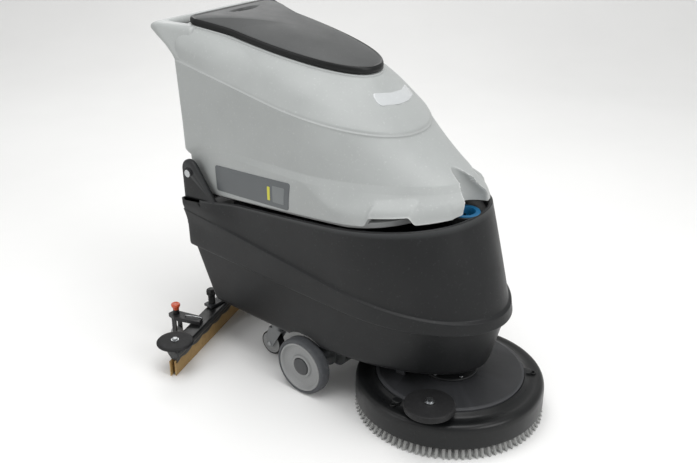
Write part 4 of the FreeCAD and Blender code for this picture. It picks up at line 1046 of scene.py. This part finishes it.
    def filler(self, maker: Maker) -> None:
        """The collar of the filling mouth and the blue strainer in it."""
        x, _, _ = middle("fill_strainer")
        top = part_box("fill_strainer")[1].z / MM
        collar = box_outline(31, top - 90, 42, top - 3)
        maker.turned("filler_collar", collar, (x, 0, 0), rounding=2.5, closed=True)
        basket = [(0, top - 67), (23, top - 67), (29, top - 9), (31, top - 3), (40, top - 3), (40, top), (28, top),
                  (26, top - 9), (21, top - 64), (0, top - 64)]
        strainer = Maker(self.body, STRAINER_BLUE, "strainer_blue")
        made = strainer.turned("fill_strainer_basket", basket, (x, 0, 0), rounding=0.8, stands_for=["fill_strainer"])
        slots = []
        for i in range(12):
            turn = tau * i / 12
            slot = [(-2.2, top - 56), (2.2, top - 56), (2.6, top - 18), (-2.6, top - 18)]
            tool = strainer.slab("slot_tool_%d" % i, slot, 60.0, (0, 0, 0), Axis.FORWARD, 1.0, 0.0)
            tool.rotation_euler.z = turn
            tool.location = (x * MM, 0, 0)
            slots.append(tool)
        bpy.context.view_layer.update()
        cut_away(made, slots, 32.0)

    def batteries(self) -> None:
        """The two batteries: cases, and lids with vent caps."""
        low, high = (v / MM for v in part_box("batteries"))
        half = (high.x - low.x) / 4 - 2
        for number, x in enumerate((low.x + half, high.x - half)):
            case = Maker(self.body, BATTERY_CASE, "battery_case")
            box = box_outline(x - half, low.y, x + half, high.y)
            case.slab("battery_%d" % number, box, high.z - low.z - 26, (0, 0, low.z), Axis.UP, 8.0, 2.0,
                      ["batteries"])
            lid = box_outline(x - half + 2, low.y + 2, x + half - 2, high.y - 2)
            case.slab("battery_lid_%d" % number, lid, 22, (0, 0, high.z - 24), Axis.UP, 8.0, 3.0)
            for row in range(6):
                y = (row - 2.5) * 34
                cap = [(0, 0), (12, 0), (12, 3), (9, 4.5), (0, 4.5)]
                Maker(self.body, STRAINER_BLUE, "battery_case").turned(
                    "vent_cap_%d_%d" % (number, row), cap, (x, y, high.z - 2), rounding=0.8, steps=40)


# ---------------------------------------------------------------- controls
@dataclass
class Controls:
    """The rear panel with its gauge, key and two switches."""

    def build(self) -> None:
        """Makes the bezel, gauge, lamps, key and buttons."""
        low, high = (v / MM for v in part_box("control_panel"))
        face = low.x
        bezel = Maker("recovery", BLACK_PLASTIC, "black_plastic")
        box = box_outline(-high.y, low.z, -low.y, high.z)
        plate = bezel.slab("control_bezel", box, 26.0, (face + 26, 0, 0), Axis.BACK, 12.0, 3.0, ["control_panel"])
        sink = box_outline(-high.y + 9, low.z + 9, -low.y - 9, high.z - 9)
        tools = [bezel.slab("sink_tool", sink, 4.0, (face + 1.5, 0, 0), Axis.BACK, 8.0, 0.0)]
        for node in ("brush_button", "vacuum_button"):
            _, y, z = middle(node)
            tools.append(bezel.turned(node + "_tool", box_outline(0, -12, 9.6, 4), (face, y, z), Axis.BACK,
                                      0.1))
        cut_away(plate, tools, 32.0)
        self.gauge(face)
        self.switches(face)

    def gauge(self, face: float) -> None:
        """The smoked battery gauge with its row of lamps."""
        low, high = (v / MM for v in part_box("battery_gauge"))
        window = box_outline(-high.y, low.z, -low.y, high.z)
        Maker("recovery", LENS, "gauge_lens").slab("gauge_window", window, 4.3, (face + 1.4, 0, 0), Axis.BACK, 4.0,
                                                   1.0,
                                                   ["battery_gauge"])
        for i in range(5):
            finish = GREEN_LENS if i > 1 else AMBER_LENS
            y = low.y + (high.y - low.y) * (i + 1) / 6
            Maker("recovery", finish, "gauge_lens").turned(
                "gauge_lamp_%d" % i, [(0, 0), (2.6, 0), (2.6, 0.8), (1.8, 1.4), (0, 1.6)],
                (low.x, y, (low.z + high.z) / 2), Axis.BACK, 0.4, steps=32)

    def switches(self, face: float) -> None:
        """The key with its bow and barrel, and the two push buttons."""
        for node, body, finish in (("brush_button", "brush_switch", GREEN_LENS),
                                   ("vacuum_button", "vacuum_switch", AMBER_LENS)):
            _, y, z = middle(node)
            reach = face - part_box(node)[0].x / MM
            cap = [(0, -4), (9, -4), (9, reach - 2), (7.4, reach), (5, reach - 0.6), (0, reach - 0.9)]
            Maker(body, finish, "button_green").turned(node + "_cap", cap, (face, y, z), Axis.BACK, 0.8, steps=48,
                                                       stands_for=[node])
        _, y, z = middle("ignition_key")
        barrel = [(0, 0.3), (9, 0.3), (9, 4), (6.5, 5.3), (0, 5.3)]
        Maker("key", ZINC, "key_steel").turned("key_barrel", barrel, (face, y, z), Axis.BACK, 0.8, steps=48,
                                               stands_for=["ignition_key"])
        bow = [(-27.8, -9), (-13, -9), (-11, -4), (-4, -4), (-4, 4), (-11, 4), (-13, 9), (-27.8, 9)]
        ring = [circle(2.6, -22.5, 0, 20)]
        Maker("key", BLACK_PLASTIC, "key_steel").slab("key_bow", bow, 3.0, (face, y + 1.5, z), Axis.RIGHT, 3.5, 0.6,
                                                      holes=ring)


# ---------------------------------------------------------------- deck and brush
@dataclass
class BrushDeck:
    """The round deck with its clips and bumper roller, the motor over it and the disc brush under it."""

    tuft_roots: tuple[float, ...] = (160.0, 178.0, 196.0, 214.0, 241.0)
    tuft_pitch: float = 16.3
    tuft_seed: int = 7

    def build(self) -> None:
        """Makes the cover, clips, motor, roller and the tufts."""
        self.x = middle("deck_cover")[0]
        self.radius = half_size("deck_cover")[0]
        self.cover()
        self.motor()
        self.roller()
        self.tufts()

    def cover(self) -> None:
        """The moulded cover: tall skirt, broad round shoulder, sunk seam round the plate, and three clips."""
        r, foot = self.radius, low_z("deck_cover")
        top = foot + 69.0
        profile = [(r - 5, foot), (r, foot), (r, top - 20), (r - 2.5, top - 9), (r - 9, top - 2.5),
                   (r - 19, top - 0.8),
                   (r - 31, top - 2.6), (217, top - 0.5), (210, top + 5), (205.4, top + 8.5), (204.2, top + 8),
                   (204.2, top + 2), (207, top - 2), (207, top - 4), (150, top - 4), (150, top - 7), (200, top - 8),
                   (r - 26, top - 8), (r - 14, top - 14), (r - 5, top - 30)]
        maker = Maker("deck", DECK_PLASTIC, "deck_shell")
        maker.turned("deck_cover_moulding", profile, (self.x, 0, 0), rounding=5.0, closed=True, steps=192,
                             stands_for=["deck_cover"])
        for number, turn in enumerate((37, 157, 264)):
            self.clip(maker, number, radians(turn), top)
        roller_x, roller_y, _ = middle("deck_roller")
        seat = [(0, top - 4), (26, top - 2), (17, top + 7), (14, top + 18.5), (0, top + 18.5)]
        maker.turned("roller_seat", seat, (roller_x, roller_y, 0), rounding=3.0)

    def clip(self, maker: Maker, number: int, turn: float, top: float) -> None:
        """A clip that holds the plate: a raised tongue with a dark sprung end in a shallow slot."""
        out, along = np.array([cos(turn), sin(turn)]), np.array([-sin(turn), cos(turn)])
        tongue = [(198, -14), (219, -12.5), (224, -8), (224, 8), (219, 12.5), (198, 14)]
        outline = [tuple(out * a + along * b) for a, b in tongue]
        maker.slab("deck_clip_%d" % number, outline, 10.0, (self.x, 0, top - 1.5), Axis.UP, 3.0, 2.0)
        # The eyelet is drawn in the lid's darkened plastic, a painted shade for the clip's dark hole.
        eyelet = [(4.6, -3), (8.6, -3), (8.6, 3.2), (7.4, 4.4), (5.6, 4.4), (4.6, 3.4)]
        spot = (self.x + out[0] * 229, out[1] * 229, top - 1.5)
        Maker("deck", LID_PAINTED_SHADE, "deck_shell").turned("deck_clip_eyelet_%d" % number, eyelet, spot, rounding=0.8,
                                                     closed=True, steps=48)

    def motor(self) -> None:
        """The gear motor: a round can over a faceted gearbox and a neck down to the plate."""
        plate = low_z("brush_motor")
        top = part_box("brush_motor")[1].z / MM
        metal = Maker("deck", COATED_STEEL, "drive_metal")
        flange = [(10.1, plate), (78, plate), (78, plate + 6), (74, plate + 8), (46, plate + 9), (46, plate + 22),
                  (10.1, plate + 22)]
        metal.turned("motor_flange", flange, (self.x, 0, 0), rounding=2.0, closed=True, stands_for=["brush_motor"])
        rings = []
        turns = [tau * (i + 0.5) / 8 for i in range(8)]
        for r, h in ((36, 8), (44, 13), (70, 30), (73, 36), (73, 57), (68, 61)):
            rings.append(rounded([(self.x + r * cos(t), r * sin(t), plate + h) for t in turns], 5.0))
        metal.lofted("motor_gearbox", rings, sharp=28.0)
        can = [(0, plate + 58), (62, plate + 58), (62, top - 14), (56, top - 3), (50, top), (0, top)]
        metal.turned("motor_can", can, (self.x, 0, 0), rounding=5.0)
        for i in range(6):
            turn = tau * (i + 0.5) / 6
            at = (self.x + 70 * cos(turn), 70 * sin(turn), plate + 7.4)
            Maker("deck", ZINC, "drive_metal").slab("flange_bolt_%d" % i, hexagon(5.2), 4.0, at, Axis.UP, 0.0, 0.7)

    def roller(self) -> None:
        """The bumper roller: a dished rubber disc on a hexagon bolt with its washer."""
        x, y, _ = middle("deck_roller")
        low, radius = low_z("deck_roller"), half_size("deck_roller")[0]
        profile = [(6.1, 0), (radius - 3, 0), (radius, 2), (radius, 15.4), (radius - 2, 17.8), (60, 18.4),
                   (21, 20.6), (19, 21), (6.1, 21)]
        Maker("roller", DARK_RUBBER, "bumper_rubber").turned(
            "deck_roller_disc", [(r, low + h) for r, h in profile], (x, y, 0), rounding=1.8, closed=True, steps=128,
            stands_for=["deck_roller"])
        bolt_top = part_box("roller_bolt")[1].z / MM
        washer = box_outline(6.2, bolt_top - 9, 13, bolt_top - 6.8)
        bright = Maker("deck", ZINC, "bright_steel")
        bright.turned("roller_washer", washer, (x, y, 0), rounding=0.4, closed=True, steps=64)

    def tufts(self) -> None:
        """Rows of nylon tufts, punched on a ring and flared outwards, tapering to their worn tips."""
        low, high = (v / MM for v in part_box("brush_bristles"))
        reach, height = (high.x - low.x) / 2, high.z - low.z
        draw = np.random.default_rng(self.tuft_seed)
        points, faces = [], []
        for row, root in enumerate(self.tuft_roots):
            tip = root + (reach - 1.2 - self.tuft_roots[-1]) * (row / (len(self.tuft_roots) - 1)) ** 1.5
            count = int(tau * root / self.tuft_pitch)
            for i in range(count):
                turn = tau * (i + 0.5 * (row % 2)) / count + draw.uniform(-0.002, 0.002)
                lean = turn + draw.uniform(-0.006, 0.006)
                start = len(points)
                for drop, girth in ((0.0, 4.4), (0.45, 5.0), (0.78, 4.8), (0.93, 2.9), (1.0, 0.9)):
                    r, t = root + (tip - root) * drop**1.3, turn + (lean - turn) * drop
                    z = height * (1 - drop) + (0.4 if drop == 1.0 else 0.0)
                    for k in range(7):
                        a = tau * k / 7
                        out, side = girth * cos(a) * 0.85, girth * sin(a)
                        points.append((self.x + (r + out) * cos(t) - side * sin(t),
                                       (r + out) * sin(t) + side * cos(t), z))
                faces += [tuple(start + n for n in f) for f in grid_faces(5, 7)]
                faces.append(tuple(start + 28 + k for k in range(7)))
                faces.append(tuple(start + k for k in range(7)))
        made = Maker("brush", NYLON, "bristle_nylon")
        made.mesh("nylon_tufts", points, faces, ["brush_bristles"], 60.0)


# ---------------------------------------------------------------- wheels
@dataclass
class RunningGear:
    """The two drive wheels, the two castors and their hardware."""

    def build(self) -> None:
        """Makes both sides."""
        for word, side in BOTH:
            self.drive_wheel(word, side)
            self.castor(word)

    def drive_wheel(self, word: str, side: float) -> None:
        """A grey tyre on a dished pale rim with a raised hub ring and a domed cap."""
        at, radius = middle("tyre_" + word), half_size("tyre_" + word)[0]
        half = half_size("tyre_" + word)[1]
        facing = Axis.LEFT if side > 0 else Axis.RIGHT
        body = "wheel_" + word
        tread = [(73.5, -half + 1), (78, -half), (radius - 1.5, -half + 4), (radius, -half + 10),
                 (radius, half - 10),
                 (radius - 1.5, half - 4), (79, half), (73.5, half - 1.5)]
        Maker(body, TYRE, "tyre_rubber").turned("tyre_tread_" + word, tread, at, facing, 4.5, True, 144,
                                                ["tyre_" + word])
        rim = [(10.2, -16), (24, -16), (24, -5), (65, -5), (67, -17), (73.6, -17.5), (73.6, half - 2.2),
               (71.5, half - 0.4),
               (68.5, half - 1.2), (64, 10), (57, 6.2), (40, 5.6), (35.5, 6.2), (33, 10.8), (30, 12.2), (26.6, 12),
               (25.6, 9), (10.2, 9)]
        Maker(body, LIGHT_PLASTIC, "rim_plastic").turned("rim_disc_" + word, rim, at, facing, 2.2, True, 128,
                                                         ["wheel_rim_" + word])
        cap = [(0, 9.5), (25.4, 9.5), (25.4, 13.5), (23.5, 15.6), (14, 17.4), (0, 18.2)]
        Maker(body, CAP_PLASTIC, "black_plastic").turned("hub_cap_disc_" + word, cap, at, facing, 1.6, steps=96,
                                                         stands_for=["hub_cap_" + word])

    def castor(self, word: str) -> None:
        """A pale castor wheel with a thin dark tread, and its axle screw."""
        node = "caster_wheel_" + word
        at, radius, half = middle(node), half_size(node)[0], half_size(node)[1]
        body = "caster_roll_" + word
        tread = [(radius - 4.5, -half + 2), (radius - 1, -half + 1.5), (radius, -half + 5), (radius, half - 5),
                 (radius - 1, half - 1.5), (radius - 4.5, half - 2)]
        Maker(body, DARK_RUBBER, "tyre_rubber").turned("castor_tread_" + word, tread, at, Axis.LEFT, 1.8, True, 96)
        disc = [(5.1, -half), (12, -half), (14, -half + 3), (26, -half + 4.5), (29, -half + 2),
                (radius - 4.5, -half + 1.6),
                (radius - 4.5, half - 1.6), (29, half - 2), (26, half - 4.5), (14, half - 3), (12, half),
                (5.1, half)]
        Maker(body, LIGHT_PLASTIC, "rim_plastic").turned("castor_disc_" + word, disc, at, Axis.LEFT, 1.4, True, 96,
                                                         [node])
        for facing, way in ((Axis.LEFT, 1), (Axis.RIGHT, -1)):
            head = [(0, -1), (7.5, -1), (7.5, 2), (5.8, 3.6), (0, 4)]
            Maker("caster_" + word, ZINC, "bright_steel").turned(
                "castor_screw_%s_%s" % (word, facing.name.lower()), head, (at[0], at[1] + way * (half + 5), at[2]),
                facing, 0.7, steps=40)


# ---------------------------------------------------------------- squeegee
@dataclass
class Squeegee:
    """The swept squeegee: body, clamp strip, two gum blades, rollers, knobs and wire clips."""

    body: str = "squeegee"
    sweep: float = 0.357

    def build(self) -> None:
        """Makes the squeegee's pieces."""
        low, high = (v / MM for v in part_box("squeegee_body"))
        self.reach, self.low = high.y, low.z
        self.top = low_z("squeegee_arm")
        self.apex = low.x + 34
        self.beam()
        self.blades()
        for word, side in BOTH:
            self.roller(word)
            self.knobs(word)
            self.wire(word, side)

    def swept(self, section: Sequence[Pair], reach: float, rounding: float,
              cap_slant: float = 0.0) -> list[np.ndarray]:
        """Rings of a (forward, up) section swept along the chevron, wedge-cut at both tips."""
        line = rounded(section, rounding)
        rings = []
        for y in np.concatenate([[-reach, -reach + 4], np.linspace(-reach + 12, -14, 44), np.linspace(-10, 10, 9),
                                 np.linspace(14, reach - 12, 44), [reach - 4, reach]]):
            bow = self.sweep * (abs(y) if abs(y) > 14 else (y * y / 28 + 7))
            slant = cap_slant * max(0.0, (abs(y) - reach + 4) / 4)
            middle_f, middle_z = line.mean(0)
            rings.append(np.array([(self.apex + bow + middle_f + (f - middle_f) * (1 - slant), y,
                                    middle_z + (z - middle_z) * (1 - slant)) for f, z in line]))
        return rings

    def beam(self) -> None:
        """The black beam with a sloping flat top, its scalloped clamp strip, spigot and roller bosses."""
        maker = Maker(self.body, DECK_PLASTIC, "deck_shell")
        top = self.top
        section = [(21, top - 4), (17, top - 0.5), (-30, top - 3), (-34, top - 9), (-34, top - 20),
                   (-17, self.low + 2),
                   (-15, self.low), (5, self.low), (9, self.low + 5), (21, top - 16)]
        maker.lofted("squeegee_beam", self.swept(section, self.reach, 3.0, 0.25), ["squeegee_body"], 32.0)
        strip = []
        for y in np.linspace(-self.reach + 6, self.reach - 6, 185):
            x = self.apex + self.sweep * sqrt(y * y + 60) + 4.2
            dip = self.low - 3 - 6.5 * abs(sin(pi * y / 62))
            strip.append(np.array([(x, y, dip), (x + 3.0, y, dip + 0.8), (x + 3.4, y, self.low + 12),
                                   (x, y, self.low + 12)]))
        maker.lofted("clamp_strip", strip, sharp=30.0)
        x, y = self.apex - 8, 0.0
        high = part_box("squeegee_body")[1].z / MM
        spout = [(20, top - 8), (30, top - 8), (30, top + 3), (25, top + 7), (24, top + 12), (24, top + 22),
                 (24.0, high - 7),
                 (23, high), (20, high)]
        maker.turned("spigot", spout, (x, y, 0), rounding=1.5, closed=True)
        for word, _ in BOTH:
            bx, by, _ = middle("bumper_roller_" + word)
            boss = [(0, top - 4), (19, top - 4), (13.5, top + 3.5), (0, top + 3.5)]
            maker.turned("roller_boss_" + word, boss, (bx, by, 0), rounding=1.5)
            cx, cy, _ = middle("clamp_knob_" + word)
            stud = [(0, top - 2), (6, top - 2), (6, top + 36), (5, top + 38), (0, top + 38)]
            Maker(self.body, ZINC, "bright_steel").turned("clamp_stud_" + word, stud, (cx, cy, 0), rounding=0.6,
                                                          steps=40)

    def blades(self) -> None:
        """The front and rear gum blades, square cut, with slightly worn lips."""
        for name, near, far, reach in (("front_blade", 4.0, 0.0, self.reach), ("rear_blade", -10.0, -14.0,
                                                                              self.reach + 10)):
            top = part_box(name)[1].z / MM
            section = [(near, 1.2), (near - 0.8, 0.0), (far + 0.4, 0.0), (far, 0.6), (far, top), (near, top)]
            Maker(self.body, GUM, "blade_gum").lofted(name + "_strip", self.swept(section, reach, 0.5), [name], 30.0)

    def roller(self, word: str) -> None:
        """A wall roller: a flat rubber disc, coned below, with a bright bolt and washer."""
        node = "bumper_roller_" + word
        x, y, _ = middle(node)
        low, radius, thick = low_z(node), half_size(node)[0], half_size(node)[2] * 2
        disc = [(5.2, 0), (36, 0), (radius - 4, 3.0), (radius, 6), (radius, thick - 4.5), (radius - 3, thick - 1.6),
                (radius - 8, thick - 0.6), (16, thick), (5.2, thick)]
        Maker("bumper_" + word, DARK_RUBBER, "bumper_rubber").turned(
            "roller_disc_" + word, [(r, low + h) for r, h in disc], (x, y, 0), rounding=1.6, closed=True, steps=128,
            stands_for=[node])
        bright = Maker(self.body, ZINC, "bright_steel")
        top = low + thick
        washer = box_outline(4.8, top + 0.3, 11.5, top + 2.0)
        bright.turned("roller_plain_washer_" + word, washer, (x, y, 0), rounding=0.4, closed=True, steps=56)
        bright.slab("roller_nut_" + word, hexagon(8.2), 4.6, (x, y, top + 2.0), Axis.UP, 0.0, 0.8)
        shank = [(0, low - 4), (4.9, low - 4), (4.9, top + 6.8), (4.2, top + 7), (0, top + 7)]
        bright.turned("roller_shank_" + word, shank, (x, y, 0), rounding=0.3, steps=40)

    def knobs(self, word: str) -> None:
        """The red height knob on its dark neck, and the black clamp knob."""
        node = "height_knob_" + word
        x, y, _ = middle(node)
        low, high = low_z(node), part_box(node)[1].z / MM
        neck = [(0, low), (10, low), (9.4, low + 6), (9.4, low + 15), (0, low + 15)]
        Maker("height_" + word, BLACK_PLASTIC, "black_plastic").turned("height_neck_" + word, neck, (x, y, 0),
                                                                       rounding=1.2, steps=56)
        cup = [(0, low + 14), (9.2, low + 14), (9.6, low + 18), (14, high - 9), (14, high - 4), (12, high - 1.6),
               (8, high - 1), (5, high - 3), (0, high - 3)]
        Maker("height_" + word, RED_KNOB, "knob_red").turned("height_cup_" + word, cup, (x, y, 0), rounding=2.2,
                                                             steps=72, stands_for=[node])
        node = "clamp_knob_" + word
        x, y, _ = middle(node)
        low, high = low_z(node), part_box(node)[1].z / MM
        rings = []
        for r, h, lobes in ((6.1, 0, 0), (11, 0, 0), (11, 24, 0), (11.5, 28, 0.2), (16, 33, 1), (16.4, 40, 1),
                            (14.5, 46.5, 1), (10, high - low, 0.5), (4, high - low - 0.6, 0)):
            turns = tau * np.arange(84) / 84
            r_all = r * (1 - 0.09 * lobes * (1 - np.cos(7 * turns)) / 2)
            rings.append(np.column_stack([x + r_all * np.cos(turns), y + r_all * np.sin(turns),
                                          np.full(84, low + h)]))
        Maker("clamp_" + word, BLACK_PLASTIC, "black_plastic").lofted("clamp_star_" + word, rings, [node], 50.0)

    def wire(self, word: str, side: float) -> None:
        """The sprung wire clip on the prop arm."""
        path = [(-476, side * 262, self.top + 12.5), (-470, side * 266, self.top + 17),
                (-448, side * 258, self.top + 19),
                (-432, side * 246, self.top + 15), (-424, side * 241, self.top + 12.6)]
        Maker(self.body, ZINC, "bright_steel").tube("wire_clip_" + word, path, 1.5, 8.0, 12)


# ---------------------------------------------------------------- studio
@dataclass
class Studio:
    """The pale floor, the soft lights and the camera."""

    eye: Triple = (1.517, -1.888, 1.566)
    azimuth: float = 39.6
    dip: float = 25.1
    lens: float = 49.07
    sensor: float = 36.0

    def build(self) -> None:
        """Makes the sweep, lights, world and camera."""
        self.sweep()
        self.lights()
        self.camera()

    def sweep(self) -> None:
        """A wide floor that curves up into a backdrop."""
        line = rounded([(-6.0, 0.0), (5.0, 0.0), (5.0, 5.0)], 2.2, closed=False, steps=14)
        points = [(x, y, z) for y, z in line for x in (-9.0, 9.0)]
        data = bpy.data.meshes.new("studio_sweep")
        data.from_pydata(points, [], [(i, i + 1, i + 3, i + 2) for i in range(0, len(points) - 2, 2)])
        data.materials.append(Finish("Paper_Sweep_White", "F4F4F3", "F0F0EF", "F7F7F7", 0.85, grain=6.0, depth=0.02,
                                     patch=900.0, wear_and_highlight=0.0).material())
        made = bpy.data.objects.new("studio_sweep", data)
        bpy.context.scene.collection.objects.link(made)
        made.rotation_euler.z = radians(self.azimuth)
        shade(made, 60.0)

    def lights(self) -> None:
        """A broad overhead softbox, a fill by the camera, a rim light and an even sky."""
        for name, place, size, power in (("overhead", (0.3, -0.2, 3.4), 3.0, 66.0),
                                         ("front_right", (3.4, -0.2, 2.2), 2.0, 40.0),
                                         ("left_fill", (-1.6, -3.2, 1.8), 2.4, 20.0),
                                         ("rear", (-2.6, 2.0, 2.4), 2.0, 18.0)):
            data = bpy.data.lights.new(name, "AREA")
            data.shape, data.size, data.energy = "DISK", size, power
            lamp = bpy.data.objects.new(name, data)
            lamp.location = place
            lamp.rotation_mode = "QUATERNION"
            lamp.rotation_quaternion = (Vector((0.0, 0.0, 0.5)) - Vector(place)).to_track_quat("-Z", "Y")
            bpy.context.scene.collection.objects.link(lamp)
        world = bpy.data.worlds.new("sky")
        world.use_nodes = True
        sky = world.node_tree.nodes["Background"]
        sky.inputs["Color"].default_value = (1.0, 1.0, 1.0, 1.0)
        sky.inputs["Strength"].default_value = 0.6
        bpy.context.scene.world = world
        bpy.context.scene.view_settings.view_transform = "Standard"

    def camera(self) -> None:
        """Stands the camera to the front right of the machine, looking down on it."""
        data = bpy.data.cameras.new("camera")
        data.lens, data.sensor_width = self.lens, self.sensor
        data.clip_end = 60.0
        camera = bpy.data.objects.new("camera", data)
        turn, dip = radians(self.azimuth), radians(self.dip)
        back = Vector((sin(turn) * cos(dip), -cos(turn) * cos(dip), sin(dip)))
        camera.location = self.eye
        camera.rotation_mode = "QUATERNION"
        camera.rotation_quaternion = (-back).to_track_quat("-Z", "Y")
        bpy.context.scene.collection.objects.link(camera)
        bpy.context.scene.camera = camera


def dress_frame() -> None:
    """Finishes the frame's nodes that are shown as they are."""
    carried = Carried()
    carried.dress(COATED_STEEL, 0.8, "chassis_frame", "deck_plate", "deck_arm", "squeegee_arm", "swing_bracket")
    carried.dress(ZINC, 0.6, "pivot_bolts", "roller_bolt", "lid_hinge_pin")
    carried.dress(GREY_ENAMEL, 0.6, "caster_fork_left", "caster_fork_right")
    carried.dress(CAST_METAL, 1.2, "transaxle", "drive_hub", "vacuum_motor")
    carried.dress(BLACK_PLASTIC, 0.8, "drain_cap", "solution_filter", "brush_block", "vacuum_cover", "float_cage",
                  "suction_port", "drain_port", "operating_lever", "prop_arms")
    carried.dress(LEAD, 0.8, "battery_links")
    carried.dress(DARK_RUBBER, 0.3, "lid_gasket")
    carried.dress(LIGHT_PLASTIC, 0.8, "prop_wheel_left", "prop_wheel_right", "float_ball")


def main() -> None:
    """Builds the machine and the studio."""
    logging.basicConfig(level=logging.INFO, format="%(message)s")
    for part in (UpperTank(), Lid(), LowerTank(), Controls(), BrushDeck(), RunningGear(), Squeegee(), Studio()):
        part.build()
        log.info("built %s", type(part).__name__)
    dress_frame()


if __name__ == "__main__":
    main()
